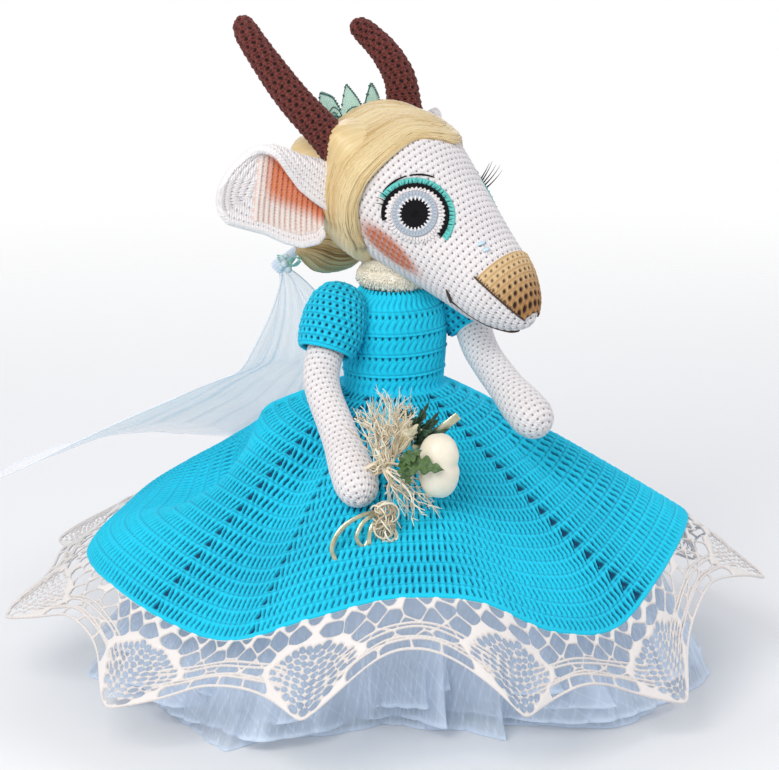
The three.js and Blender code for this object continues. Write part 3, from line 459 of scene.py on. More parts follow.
def plain(name, light, dark, scale, roughness, bump_strength=0.3, bump_distance=0.0005, **values):
    """A surface whose colour drifts between two shades."""
    paint = Paint(name, roughness)
    spots = paint.noise(scale, 4.0, 0.6)
    paint.link(paint.ramp(spots, (0.3, dark), (0.7, light)), "Base Color")
    paint.link(paint.bump(paint.noise(scale * 6, 3.0), bump_strength, bump_distance), "Normal")
    rough = paint.ramp(spots, (0.2, (roughness + 0.08,) * 3), (0.8, (roughness - 0.05,) * 3))
    paint.link(rough, "Roughness")
    paint.set(**values)
    return paint.material


ivory = plain("ivory_ball", linear("f5eedd"), linear("e6dcc4"), 45.0, 0.35, 0.1)
root_bark = thread("dried_roots", linear("f3e9d2"), linear("a3865a"))
leaf_green = plain("dark_leaf", linear("31553a"), linear("142c1c"), 260.0, 0.45)
leaf_light = plain("front_leaf", linear("56753c"), linear("2c4824"), 260.0, 0.5)
flower_cream = plain("cream_petal", linear("f6efd8"), linear("e0d2a8"), 200.0, 0.6)
satin = plain("satin_ribbon", linear("c9c7ad"), linear("8f8f72"), 160.0, 0.24, 0.15, Metallic=0.6)
teal_lace = plain("teal_lace", linear("c7ece2"), linear("9fd8cc"), 400.0, 0.55)
teal_dark = plain("teal_edging", linear("2c6a62"), linear("123a3a"), 400.0, 0.5)
bead = plain("clear_bead", linear("dfeef2"), linear("bcd6de"), 300.0, 0.12, 0.05, Specular_IOR_Level=0.8)
dowel_wood = plain("bare_wood", linear("c8a070"), linear("a87c4c"), 150.0, 0.6)

# Crochet


def hump(x, width):
    return np.exp(-((x / width) ** 2))


def single_stitches(a, b):
    """Relief, painted shade between the stitches and painted shade in the holes of rows of single crochet at
    a stitches across and b rows up.
    """
    row = np.floor(b)
    up = b - row
    over = (a + 0.5 * row) % 1.0 - 0.5
    legs = hump(np.abs(over) - (0.10 + 0.30 * up), 0.15)
    swell = np.sin(np.pi * np.clip(up, 0.02, 0.98)) ** 0.6
    hole = hump(over, 0.17) * hump(up - 0.16, 0.17)
    side = hump(np.abs(over) - 0.5, 0.09) * 0.6
    relief = 0.55 * swell + 0.35 * legs - 0.5 * side - 1.5 * hole
    return relief, np.clip(0.55 * (1 - swell) + 0.5 * side, 0, 1), np.clip(1.5 * hole - 0.25, 0, 1)


def net_stitches(a, b):
    """Looser rows of crossed legs, with a larger hole under each stitch, and painted shade between the rows
    and legs and in the holes.
    """
    row = np.floor(b)
    up = b - row
    over = (a + 0.5 * row) % 1.0 - 0.5
    hole = hump(over, 0.25) * hump(up - 0.4, 0.27)
    legs = hump(np.abs(over) - (0.14 + 0.36 * up), 0.15)
    swell = 1 - hump(np.abs(up - 0.5) - 0.5, 0.12)
    relief = 0.5 * swell + 0.45 * legs - 1.7 * hole
    return relief, np.clip(0.6 * (1 - swell) + 0.25 * (1 - legs), 0, 1), np.clip(1.8 * hole - 0.3, 0, 1)


def banded_stitches(a, b):
    """The bodice: a raised cord, wedge-shaped holes under it, then tall leaning posts, with painted shade in
    the slits and the groove and a deeper painted shade in the wedge-shaped holes.
    """
    up = b % 1.0
    lean = 0.35 * np.sin(2 * np.pi * up) * (up < 0.7)
    over = (a + lean) % 1.0 - 0.5
    cord = hump(up - 0.95, 0.045)
    wedge = hump(over, 0.12 + 0.16 * np.clip((up - 0.7) / 0.2, 0, 1)) * hump(up - 0.8, 0.1)
    slit = hump(over, 0.13) * hump(up - 0.36, 0.24)
    groove = hump(up - 0.03, 0.035)
    relief = (0.5 + 0.9 * cord - 1.6 * wedge - 0.95 * slit - 0.5 * groove
              + 0.25 * hump(np.abs(over) - 0.5, 0.2))
    cavity = np.clip(0.75 * slit + 0.5 * groove, 0, 1)
    return relief, cavity, np.clip(1.5 * wedge - 0.25, 0, 1)


def crochet_grid(heap, p, across, rows, pattern, depth, wrap=True, flip=False, outward=1.0, **values):
    """A grid of places with its stitches raised along its normals, and its painted shade between the stitches
    and in the holes kept on its points.
    """
    relief, cavity, hole = pattern(across, rows)
    raised = p + outward * grid_normals(p, wrap) * (relief * depth)[..., None]
    nu, nv = p.shape[:2]
    stitch = stitch_places(across, rows)
    flat = {k: np.broadcast_to(v, (nu, nv)).ravel() for k, v in values.items()}
    heap.add(raised, grid_faces(nu, nv, wrap, flip), cavity=cavity.ravel(), hole=hole.ravel(),
             stitch=stitch, **flat)


def lining(heap, outer, inner, step, flip, ends=(True, True)):
    """A coarser inner face for the grid added last, joined to it round its open ends."""
    first_outer = heap.count - outer.shape[0] * outer.shape[1]
    rows_outer, rows_inner = outer.shape[1], inner.shape[1]
    first_inner = heap.count
    n = inner.shape[0]
    # the inner face is painted in shade all over
    heap.add(inner, grid_faces(n, rows_inner, True, not flip), cavity=0.6, hole=0.0,
             stitch=np.zeros((n * rows_inner, 3)))
    joints = []
    for wanted, j_outer, j_inner, turned in ((ends[0], 0, 0, flip),
                                             (ends[1], rows_outer - 1, rows_inner - 1, not flip)):
        if not wanted:
            continue
        for i in range(n):
            a = first_inner + i * rows_inner + j_inner
            b = first_inner + ((i + 1) % n) * rows_inner + j_inner
            fine = [first_outer + ((i * step + k) % (n * step)) * rows_outer + j_outer
                    for k in range(step + 1)]
            fan = [(a, fine[k + 1], fine[k]) for k in range(step)] + [(a, b, fine[step])]
            joints += [t[::-1] for t in fan] if turned else fan
    heap.tris.append(np.array(joints))


def corded_edge(heap, path, radius, stitches):
    """A closed cord round an open edge, with its stitches along it."""
    points, quads, _, share, _ = tubes(path, radius, 8)
    stitch = np.stack([share * stitches, 0 * share, 0 * share], 1)
    # a little painted shade all along the cord
    heap.add(points, quads, cavity=0.1, hole=0.0, stitch=stitch)


def row_counts(radius_at, rows, width, fewest=6):
    """How many stitches of one width go round each row."""
    row = np.floor(rows)
    middle = np.interp(row + 0.5, rows, radius_at)
    return np.maximum(np.round(2 * np.pi * middle / width), fewest)


def round_form(heap, path, radii, width, pitch, pattern, depth, samples=8, row_samples=7, **values):
    """A stuffed form crocheted in rounds along a path."""
    path, radii = np.asarray(path, float), np.asarray(radii, float)
    # the surface's own length, with its closing ends, sets the rows
    run = run_length(np.column_stack([run_length(path), radii]))
    total = run[-1]
    nv = max(int(total / pitch * row_samples), 8)
    at = np.linspace(0, total, nv)
    centre = np.stack([np.interp(at, run, path[:, k]) for k in range(3)], 1)
    radius = np.interp(at, run, radii)
    rows = at / pitch
    _, first, second = (x[0] for x in frames_along(centre[None]))
    nu = int(2 * np.pi * radius.max() / width) * samples
    share = np.arange(nu) / nu
    turn = 2 * np.pi * share
    ring = first[None] * np.cos(turn)[:, None, None] + second[None] * np.sin(turn)[:, None, None]
    p = centre[None] + ring * radius[None, :, None]
    across = share[:, None] * row_counts(radius, rows, width)[None]
    crochet_grid(heap, p, across, np.broadcast_to(rows, (nu, nv)), pattern, depth, True, False, 1.0, **values)


def stuffed(name, path, radii, material, width, pitch, pattern, depth, **values):
    heap = Heap()
    round_form(heap, path, radii, width, pitch, pattern, depth, **values)
    return heap.piece(name, material)


# Sizes that repeat the CAD's own

WAIST_HEIGHT = 178.0
SHOULDER_HEIGHT = 222.0
SHOULDER_SPREAD = 38.0
CHEST_RADIUS = 29.0
CHEST_DEPTH = 25.0
BODICE_LENGTH = 59.0
ARM_RADIUS = 10.3
SLEEVE_RADIUS = 22.0
STITCH = 3.9
ARM_ROUND = 3.8
HIDDEN_STITCH = 4.4
TORSO_FOOT, TORSO_RISE = 118.0, 126.0
LEG_RADIUS, LEG_SPREAD, LEG_FOOT, LEG_RISE = 13.0, 17.0, 0.4, 116.5
FOOT_HEIGHT, FOOT_STRETCH, FOOT_SHIFT = 26.0, 0.62, 7.0
SIDES = ((-1, "right"), (1, "left"))


def add_hidden_body():
    """Torso and legs: their CAD forms in crochet; the dowel keeps its CAD form in bare wood."""
    torso = [(0, 0.02), (0.02, 0.5), (0.08, 0.86), (0.2, 1.04), (0.45, 0.93), (0.62, 0.95), (0.74, 0.95),
             (0.85, 0.8), (0.92, 0.48), (0.985, 0.4), (1, 0.02)]
    at = np.linspace(0, 1, 120)
    path = np.stack([0 * at, 0 * at, TORSO_FOOT + TORSO_RISE * at], 1)
    body = stuffed("torso_crochet", path, shares(torso, at) * CHEST_DEPTH, white_yarn, HIDDEN_STITCH,
                   HIDDEN_STITCH, single_stitches, 0.6, samples=5, row_samples=5)
    finish_piece(body, "doll", "white_yarn", "torso")
    for side, label in SIDES:
        heap = Heap()
        knots = [(0, 0.02), (0.04, 0.9), (0.1, 1), (0.2, 0.86), (0.5, 0.84), (0.9, 0.92), (0.97, 0.8),
                 (1, 0.02)]
        path = np.stack([0 * at + side * LEG_SPREAD, 0 * at, LEG_FOOT + LEG_RISE * at], 1)
        round_form(heap, path, shares(knots, at) * LEG_RADIUS, HIDDEN_STITCH, HIDDEN_STITCH,
                   single_stitches, 0.6, samples=5, row_samples=5)
        foot = np.clip(1 - (heap.points[0][:, 2]) / FOOT_HEIGHT, 0, 1)
        forward = heap.points[0][:, 1]
        heap.points[0][:, 1] = forward * (1 + FOOT_STRETCH * foot) - FOOT_SHIFT * foot
        heap.points[0][:, 2] = np.maximum(heap.points[0][:, 2], 0.05)
        leg = heap.piece(f"leg_{label}_crochet", white_yarn)
        finish_piece(leg, "doll", "white_yarn", f"leg_{label}")
    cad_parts["neck_dowel"].data.materials.clear()
    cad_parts["neck_dowel"].data.materials.append(dowel_wood)


add_hidden_body()


BODICE_POSTS = 46
BAND_PITCH = 12.6
FIRST_BAND = 0.18
BODICE_FLARE = 2.6
BODICE_FOOT = -0.035
LINING_DEPTH = -2.2


def bodice_place(turn, up, lift=0.0):
    neck = [(0, 0.94), (0.3, 0.99), (0.6, 1.02), (0.78, 0.97), (0.9, 0.8), (1, 0.6)]
    share = shares(neck, up)
    angle = np.radians(turn)
    flare = BODICE_FLARE + lift + 2.4 * np.clip((0.05 - up) / 0.08, 0, 1) ** 2
    width = share * CHEST_RADIUS + flare
    depth = share * CHEST_DEPTH + flare
    height = WAIST_HEIGHT + 0.3 + up * BODICE_LENGTH
    return np.stack([width * np.cos(angle), depth * np.sin(angle), height], -1)


def add_bodice():
    heap = Heap()
    nu, nv = BODICE_POSTS * 9, 150
    turn, up = np.meshgrid(np.arange(nu) / nu * 360, np.linspace(BODICE_FOOT, 1, nv), indexing="ij")
    p = bodice_place(turn, up)
    rows = up * BODICE_LENGTH / BAND_PITCH + FIRST_BAND
    crochet_grid(heap, p, turn / 360 * BODICE_POSTS, rows, banded_stitches, 0.9, True, False)
    coarse = turn[::6, :30]
    inner = bodice_place(coarse, np.linspace(BODICE_FOOT, 1, 30)[None] + 0 * coarse, LINING_DEPTH)
    lining(heap, p, inner, 6, False)
    bodice = heap.piece("bodice_crochet", turquoise_yarn)
    finish_piece(bodice, "doll", "turquoise_yarn", "bodice")


add_bodice()

# Skirt, its lace and the petticoat

SKIRT_INNER = 31.0
HEM_RADIUS = 176.0
HEM_HEIGHT = 86.0
FOLD_SHARES = [-0.85, -0.8, -0.7, -0.75, -0.7, 0.2, 1, 0.75, -0.5, -0.9, 0, 0.6,
               0.55, 0, -0.7, -0.8, -0.1, 0.5, 0.3, -0.4, -0.8, -0.2, 0, -0.5]
SLOPE_SHARES = [0.32, 0.55, 0.73, 0.88, 0.95, 0.92, 0.63, 0.73, 0.83, 0.75, 0.63, 0.5]
PETTICOAT_SHARES = [0.97, 0.97, 0.97, 0.95, 0.88, 0.74, 0.64, 0.64, 0.76, 0.9, 0.97, 1,
                    1, 0.97, 0.94, 0.94, 0.94, 0.94, 0.94, 0.94, 0.94, 0.94, 0.95, 0.96]
FAN_TURNS = np.array([-150.0, -118.0, -81.0, -57.0, 24.0, 62.0, 98.0, 140.0, 178.0])
# The fan beside the bouquet runs aslant: by how much at the waist, its middle turn and width in degrees
ASLANT_FAN = (15.0, 17.0, 36.0)
SKIRT_ROWS = 20
POST_WIDTH = 3.7
FOLD_HEIGHT = 20.0
HEM_CORD_RADIUS, WAIST_CORD_RADIUS = 1.5, 1.7
HEM_CORD_STITCHES = 300


def around(turn, radius, height):
    angle = np.radians(np.asarray(turn, float) - 90)
    radius = np.asarray(radius, float)
    return np.stack([radius * np.cos(angle), radius * np.sin(angle), height + 0 * radius], -1)


def skirt_profile(turn, t):
    radius = SKIRT_INNER + (HEM_RADIUS - SKIRT_INNER) * t
    drop = (WAIST_HEIGHT - HEM_HEIGHT) * np.maximum(t, 0) ** 1.15
    fold = FOLD_HEIGHT * cyclic(FOLD_SHARES, turn) * np.maximum(t, 0) ** 1.5
    return radius, WAIST_HEIGHT - drop + fold


# Soft folds between the CAD's own: middle turn, width in degrees, height in millimetres and where they start
DRAPES = [(-98, 10, 3.0, 0.1), (-69, 9, -6.5, 0.08), (-47, 8, 3.0, 0.2), (-27, 9, -3.5, 0.3),
          (2, 13, 3.0, 0.2), (34, 8, -5.0, 0.15), (52, 9, 3.0, 0.2), (78, 9, -3.5, 0.2), (112, 11, 3.0, 0.2),
          (152, 10, -4.0, 0.2), (-122, 22, 8.0, 0.02), (-124, 20, -27.0, 0.3), (-118, 24, 16.0, 0.55),
          (-118, 24, 24.0, 0.7), (-163, 12, 3.0, 0.2)]


def drapes(turn, t):
    total = 0.0
    for middle, width, rise, begin in DRAPES:
        away = (turn - middle + 180) % 360 - 180
        total = (total + rise * hump(away, width) * np.clip((t - begin) / 0.25, 0, 1)
                 * (1 - 0.45 * np.clip(t, 0, 1) ** 4))
    return total


def skirt_place(turn, t, lift=0.0):
    step = 0.01
    r0, z0 = skirt_profile(turn, t - step)
    r1, z1 = skirt_profile(turn, t + step)
    r, z = skirt_profile(turn, t)
    length = np.hypot(r1 - r0, z1 - z0)
    lift = lift + drapes(turn, t)
    return around(turn, r - lift * (z1 - z0) / length, z + lift * (r1 - r0) / length)


def box(x, half, soft):
    return 1 / (1 + np.exp(np.clip((np.abs(x) - half) / soft, -30, 30)))


def skirt_stitches(turn, rows):
    """Rounds of tall posts that part into slits, with a line of triangular holes at each fan. The rings, the
    gaps between posts and the slits carry painted shade, mixed with a slow drift in tone, and the holes,
    slits and dots a deeper painted shade.
    """
    row = np.floor(rows)
    up = rows - row
    radius = SKIRT_INNER + (HEM_RADIUS - SKIRT_INNER) * (row + 0.5) / SKIRT_ROWS
    turn = turn + ASLANT_FAN[0] * (1 - (row + 0.5) / SKIRT_ROWS) * hump(turn - ASLANT_FAN[1], ASLANT_FAN[2])
    fans = np.sort((FAN_TURNS + 180) % 360 - 180)
    wrapped = np.concatenate([fans, fans[:1] + 360])
    shifted = (turn - fans[0]) % 360 + fans[0]
    sector = np.clip(np.searchsorted(wrapped, shifted, "right") - 1, 0, len(fans) - 1)
    start, span = wrapped[sector], (wrapped[1:] - wrapped[:-1])[sector]
    arc = np.radians(span) * radius
    posts = np.maximum(np.round(arc / POST_WIDTH), 3)
    share = (shifted - start) / span
    near = np.minimum(share, 1 - share) * posts
    from_fan = np.minimum(share, 1 - share) * arc
    leaning = near - 0.7 * (up - 0.5) * hump(near - 1.0, 1.1) - 0.06 * np.sin(2 * np.pi * up) * (near > 1.6)
    between = (leaning + 0.5) % 1.0 - 0.5
    drift = np.sin(np.radians(turn * 5 + 40)) * np.cos(0.6 * row + np.radians(turn * 2))
    wander = np.sin(near * 2.1 + row * 1.7) * np.sin(near * 0.9 - row * 2.3)
    opened = np.clip(0.6 + 0.5 * hump(from_fan, 26) + 0.16 * drift + 0.14 * wander, 0.2, 1)
    slit = box(between, 0.07 + 0.14 * opened, 0.035) * box(up - 0.54, 0.22 + 0.1 * opened, 0.045)
    slit = slit * (leaning > 0.5)
    half = (0.66 + 0.12 * np.sign(turn)) * np.clip((up - 0.12) / 0.62, 0, 1)
    wedge = box(np.maximum(near - half, 0), 0.0, 0.05) * box(up - 0.49, 0.33, 0.025)
    wedge = np.clip(2 * wedge, 0, 1)
    ring = hump(np.minimum(up, 1 - up), 0.07)
    dots = ring * hump(between, 0.15)
    body = np.sqrt(np.clip(1 - (1 - 2 * np.abs(between)) ** 2, 0, 1))
    twist = 0.16 * np.sin(2 * np.pi * (2.5 * up + 2 * np.abs(between)))
    relief = 0.55 * body + twist * (1 - ring) - 1.5 * slit - 1.9 * wedge - 0.55 * ring - 0.55 * dots
    cavity = np.clip(0.42 * ring + 0.28 * (1 - body) + 0.5 * slit + 0.12 * drift, 0, 1)
    hole = np.clip(1.1 * wedge + slit * (0.65 + 0.45 * opened) + 0.7 * dots - 0.08, 0, 1)
    return relief, cavity, hole


def add_skirt():
    heap = Heap()
    nu, nv = 2160, SKIRT_ROWS * 14
    turn, t = np.meshgrid(np.arange(nu) / nu * 360 - 180, np.linspace(0, 1, nv), indexing="ij")
    p = skirt_place(turn, t)
    crochet_grid(heap, p, turn, t * SKIRT_ROWS, skirt_stitches, 1.15, True, True, -1.0)
    coarse = turn[::8, :40]
    lining(heap, p, skirt_place(coarse, np.linspace(0, 1, 40)[None] + 0 * coarse, LINING_DEPTH), 8, True)
    for edge, radius in ((1.0, HEM_CORD_RADIUS), (0.0, WAIST_CORD_RADIUS)):
        rim = skirt_place(np.linspace(-180, 180, 241), np.full(241, edge), -1.1)
        corded_edge(heap, rim, radius, HEM_CORD_STITCHES)
    skirt = heap.piece("skirt_crochet", turquoise_yarn)
    finish_piece(skirt, "doll", "turquoise_yarn", "skirt")


add_skirt()

# Arms and sleeves

RIGHT_ARM = [(-1, 0.02, 1.03), (-1.2, -0.12, 0.965), (-1.6, -0.55, 0.865), (-1.78, -1.4, 0.765),
             (-1.97, -2.3, 0.672), (-2.04, -2.62, 0.634)]
LEFT_ARM = [(1.2, 0.02, 1.03), (1.2, -0.3, 0.975), (1.02, -0.95, 0.905), (0.9, -1.8, 0.85),
            (0.89, -2.55, 0.797), (0.93, -2.95, 0.768)]
ARM_SHARES = [(0, 0.0), (0.012, 0.2), (0.05, 0.5), (0.1, 0.8), (0.17, 1.02), (0.3, 1.0), (0.45, 0.95),
              (0.68, 1.0), (0.8, 1.17), (0.9, 1.2), (0.955, 0.98), (0.985, 0.62), (1, 0.0)]
# Each sleeve's girth and height over the shoulder, as shares of SLEEVE_RADIUS,
# and how far down the arm it ends
SLEEVE_GIRTH = {-1: 0.94, 1: 0.87}
SLEEVE_TOP = {-1: 0.93, 1: 0.72}
SLEEVE_END = {-1: 0.2, 1: 0.18}
SLEEVE_SHARES = [(0, 0.0), (0.012, 0.2), (0.08, 0.52), (0.25, 0.78), (0.5, 0.9), (0.75, 0.9), (0.92, 0.84),
                 (1, 0.78)]
SLEEVE_INSET = 4.6
SLEEVE_STITCH = 4.3
CUFF_CORD_RADIUS = 1.3
CUFF_CORD_STITCHES = 30


def arm_path(side):
    knots = RIGHT_ARM if side < 0 else LEFT_ARM
    return np.array(knots) * [SHOULDER_SPREAD, SHOULDER_SPREAD, SHOULDER_HEIGHT]


def add_arm(side, label):
    path = smooth_path(arm_path(side), 260)
    at = np.linspace(0, 1, 260)
    radii = ARM_RADIUS * shares(ARM_SHARES, at) * np.clip(np.minimum(at, 1 - at) * 60, 0, 1) ** 0.5
    arm = stuffed(f"arm_{label}_crochet", path, radii, white_yarn, STITCH, ARM_ROUND, single_stitches, 0.6)
    finish_piece(arm, f"{label}_arm", "white_yarn", f"arm_{label}")


def add_sleeve(side, label):
    size = SLEEVE_RADIUS * SLEEVE_GIRTH[side]
    top = SHOULDER_HEIGHT + SLEEVE_RADIUS * SLEEVE_TOP[side]
    start = np.array([side * (SHOULDER_SPREAD - SLEEVE_INSET), 0, top])
    path = smooth_path(arm_path(side), 400)
    cuff = path[int(len(path) * SLEEVE_END[side])]
    axis = unit(cuff - start)
    along = unit(np.array([side, 0, 0]) - side * axis[0] * axis)
    across = np.cross(axis, along)
    nv, nu = 110, 33 * 9
    v = np.linspace(0, 1, nv)
    radius = shares(SLEEVE_SHARES, v) * size * np.clip(v * 30, 0, 1) ** 0.5
    turn = np.arange(nu) / nu * 2 * np.pi
    centre = start + (cuff - start) * v[:, None]
    ring = along * np.cos(turn)[:, None] + across * np.sin(turn)[:, None]
    p = centre[None] + ring[:, None] * radius[None, :, None]
    run = run_length(np.column_stack([v * np.linalg.norm(cuff - start), radius]))
    rows = run / SLEEVE_STITCH
    a = (np.arange(nu) / nu)[:, None] * row_counts(radius, rows, SLEEVE_STITCH)[None]
    heap = Heap()
    crochet_grid(heap, p, a, np.broadcast_to(rows, (nu, nv)), net_stitches, 0.8, True, side > 0, -float(side))
    levels = np.linspace(0.03, 1, 24)
    inner_radius = np.maximum(np.interp(levels, v, radius) - 2.0, 0.2)
    inner_centre = start + (cuff - start) * levels[:, None]
    lining(heap, p, inner_centre[None] + ring[::9, None] * inner_radius[None, :, None], 9, side > 0,
           (False, True))
    cuff_ring = np.concatenate([p[:, -1], p[:1, -1]]) - axis * 0.4
    cuff_ring = cuff_ring + unit(cuff - cuff_ring) * 0.8
    corded_edge(heap, cuff_ring, CUFF_CORD_RADIUS, CUFF_CORD_STITCHES)
    sleeve = heap.piece(f"sleeve_{label}_crochet", turquoise_yarn)
    finish_piece(sleeve, f"{label}_arm", "turquoise_yarn", f"sleeve_{label}")


for side, label in SIDES:
    add_arm(side, label)
    add_sleeve(side, label)

# Lace: an irregular web of thread with a netted fan at each point

LACE_THICKNESS = 1.8
LACE_REACH = 65.0
LACE_VALLEY_REACH = 31.0
LACE_SLOPE = 60.0
LACE_POINTS = 11
LACE_PHASE = 55.0
LACE_MEAN_RADIUS = 196.0
random_draws = np.random.default_rng(5)


def lace_reach(turn):
    wave = 1 - np.abs(np.sin(np.radians((turn - LACE_PHASE) * LACE_POINTS / 2)))
    soft = np.sqrt((1 - wave) ** 2 + 0.008)
    return LACE_VALLEY_REACH + (LACE_REACH - LACE_VALLEY_REACH) * np.clip(1.0 - soft, 0, 1) ** 1.1


def lace_place(turn, s, lift=0.0):
    top = skirt_place(turn, 1.0 + 0 * s, -1.9 + np.clip(s * 12, 0, 1))
    slope = np.radians(LACE_SLOPE * cyclic(SLOPE_SHARES, turn) + 14 * hump(turn + 118, 24))
    length = -1.0 + s * (lace_reach(turn) + 1.0)
    swing = 1.6 * np.sin(np.radians(turn * 22)) * s
    out = length * np.cos(slope) + (swing + lift) * np.sin(slope)
    return top + around(turn, out, -length * np.sin(slope) + (swing + lift) * np.cos(slope))


def web_centres():
    """Middles of the web's holes: point number and share, reach share and widest radius."""
    found = []
    for k in range(LACE_POINTS):
        def put(a, s, radius, jitter=0.03):
            da, ds = random_draws.uniform(-jitter, jitter, 2)
            found.append((2 * k + a + da, s + 0.7 * ds, radius))
        for a in (-0.87, -0.6, -0.32, -0.05, 0.22, 0.5, 0.77):
            put(a, 0.045, 4.6, 0.015)
        for a in (-0.93, -0.66, -0.4, -0.16, 0.16, 0.4, 0.66):
            put(a, 0.23, 8.5)
        for a in (-0.8, -0.5, 0.5, 0.78):
            put(a, 0.45, 8.5)
        for a in (-1.0, -0.64, 0.64):
            put(a, 0.65, 9.0, 0.05)
        for a in (-0.88, -0.56, 0.5, 0.82):
            put(a, 0.84, 8.0, 0.04)
        for s in np.arange(0.36, 0.93, 0.062):
            spread = 0.1 + 0.28 * min((s - 0.34) / 0.3, 1.0) - 1.6 * max(s - 0.74, 0.0)
            for a in np.linspace(-spread, spread, int(round(2 * spread / 0.082)) + 1):
                put(a, s, 3.0, 0.016)
    return np.array(found)


def web_field(turn, s):
    """Above zero on the web's threads, and below zero in its holes, in millimetres."""
    centres = web_centres()
    a = (turn - LACE_PHASE) / 360 * 2 * LACE_POINTS
    span = np.pi * LACE_MEAN_RADIUS / LACE_POINTS
    field = np.zeros(turn.shape)
    for k in range(len(turn)):
        near = centres[np.abs((centres[:, 0] - a[k, 0] + LACE_POINTS) % (2 * LACE_POINTS)
                              - LACE_POINTS) < 0.7]
        dx = ((near[:, 0][None] - a[k][:, None] + LACE_POINTS) % (2 * LACE_POINTS) - LACE_POINTS) * span
        reach = lace_reach(turn[k])[:, None]
        dy = (near[:, 1][None] - s[k][:, None]) * reach
        low = np.clip((near[:, 1] - 0.55) * 2.5, 0, 1)[None] * (near[:, 2] > 5)[None]
        measure = np.hypot(dx * (1 - 0.42 * low), dy * (1 + 0.5 * low))
        two = np.partition(measure, 1, axis=1)[:, :2]
        size = near[np.argmin(measure, axis=1), 2]
        width = np.where(size > 4, 1.15, 0.95)
        field[k] = np.maximum(width - (two[:, 1] - two[:, 0]), 0.8 * (two[:, 0] - size))
    return field


def eased(field, passes):
    for _ in range(passes):
        field = (np.roll(field, 1, 0) + 2 * field + np.roll(field, -1, 0)) / 4
        inner = field.copy()
        inner[:, 1:-1] = (field[:, :-2] + 2 * field[:, 1:-1] + field[:, 2:]) / 4
        field = inner
    return field


def web_sheet(heap, turn, s, field, surface, thickness, **values):
    """Two faces of a web that meet where the field is zero, with their edges drawn onto that line."""
    other = np.roll(field, -1, 0)
    keep = (field[:, :-1] > 0) | (field[:, 1:] > 0) | (other[:, :-1] > 0) | (other[:, 1:] > 0)
    gi = (np.roll(field, -1, 0) - np.roll(field, 1, 0)) / 2
    gj = np.gradient(field, axis=1)
    steep = np.maximum(gi**2 + gj**2, 1e-6)
    pull = np.where(field < 0, -field / steep, 0.0)
    move_i, move_j = np.clip(pull * gi, -0.95, 0.95), np.clip(pull * gj, -0.95, 0.95)
    step_turn = 360.0 / len(turn)
    step_s = s[0, 1] - s[0, 0]
    at_turn, at_s = turn + move_i * step_turn, np.clip(s + move_j * step_s, 0, 1)
    half = thickness * np.sqrt(np.clip(field, 0, 1.2) / 1.2)
    for sign in (1, -1):
        points = surface(at_turn, at_s, sign * half)
        heap.add(points, grid_faces(*turn.shape, True, sign > 0, keep),
                 **{k: v.ravel() for k, v in values.items()})


def add_lace():
    heap = Heap()
    nu, nv = 2420, 132
    turn, s = np.meshgrid(np.arange(nu) / nu * 360 - 180, np.linspace(0, 1, nv), indexing="ij")
    field = web_field(turn, s)
    field = eased(field, 4)
    a = (turn - LACE_PHASE) / 360 * LACE_POINTS
    away = np.abs(a - np.round(a)) * 2
    for begin, rise, wave in ((0.50, 0.10, 0.9), (0.58, 0.07, 2.1), (0.74, 0.05, 0.2), (0.79, 0.03, 1.4)):
        line = begin + rise * (1 - away) + 0.012 * np.sin(a * 17 + wave)
        strand = 0.75 - np.abs(s - line) * lace_reach(turn)
        field = np.maximum(field, np.where(away > 0.26, np.clip(strand, -3, 0.7), -3))
    border = 1.7 - (1 - s) * lace_reach(turn)
    band = 1.5 - np.abs(s * lace_reach(turn) - 1.0)
    field = np.maximum(np.maximum(field, np.clip(border, -3, 1.3)), np.clip(band, -3, 1.3))
    edge = (1 - s) * lace_reach(turn)
    field = np.minimum(field, edge * 1.2 + 0.02)
    field[:, -1] = 0.0
    half = LACE_THICKNESS * 0.62
    knots = (np.sin(turn / 360 * 2 * np.pi * 470 + 3 * np.sin(s * 21))
             * np.sin(s * 84 + 2 * np.sin(np.radians(turn * 30))))
    # tone: lighter in the middle of each thread and darker towards its thin edges, painted shade on the round
    # cords, and varied by the knots
    web_sheet(heap, turn, s, field * (1 + 0.10 * knots), lambda t, v, h: lace_place(t, v, h), half,
              tone=np.clip(0.45 + 0.5 * np.clip(field, 0, 1) + 0.15 * knots, 0, 1))
    lace = heap.piece("lace_web", lace_thread)
    finish_piece(lace, "doll", "white_lace", "lace_hem")


add_lace()


# The petticoat lies under the skirt down to a break, and hangs from there
PETTICOAT_BREAK = 0.7
BREAK_RADIUS = 148.0
PETTICOAT_HEM = 168.0
PETTICOAT_GAP, BREAK_DROP = 2.4, 20.0
FLAP_REACH = 34.0
FLAP_RETURN = 0.12
TULLE_EDGE_RADIUS = 0.35
# Each layer's height over the floor, extra reach, pleat depth and phase
PETTICOAT_LAYERS = ((0.3, 0.0, 5.0, 0.0), (6.0, 0.0, 6.5, 2.1), (13.0, -4.0, 6.0, 4.4),
                    (20.0, -9.0, 5.0, 5.6))


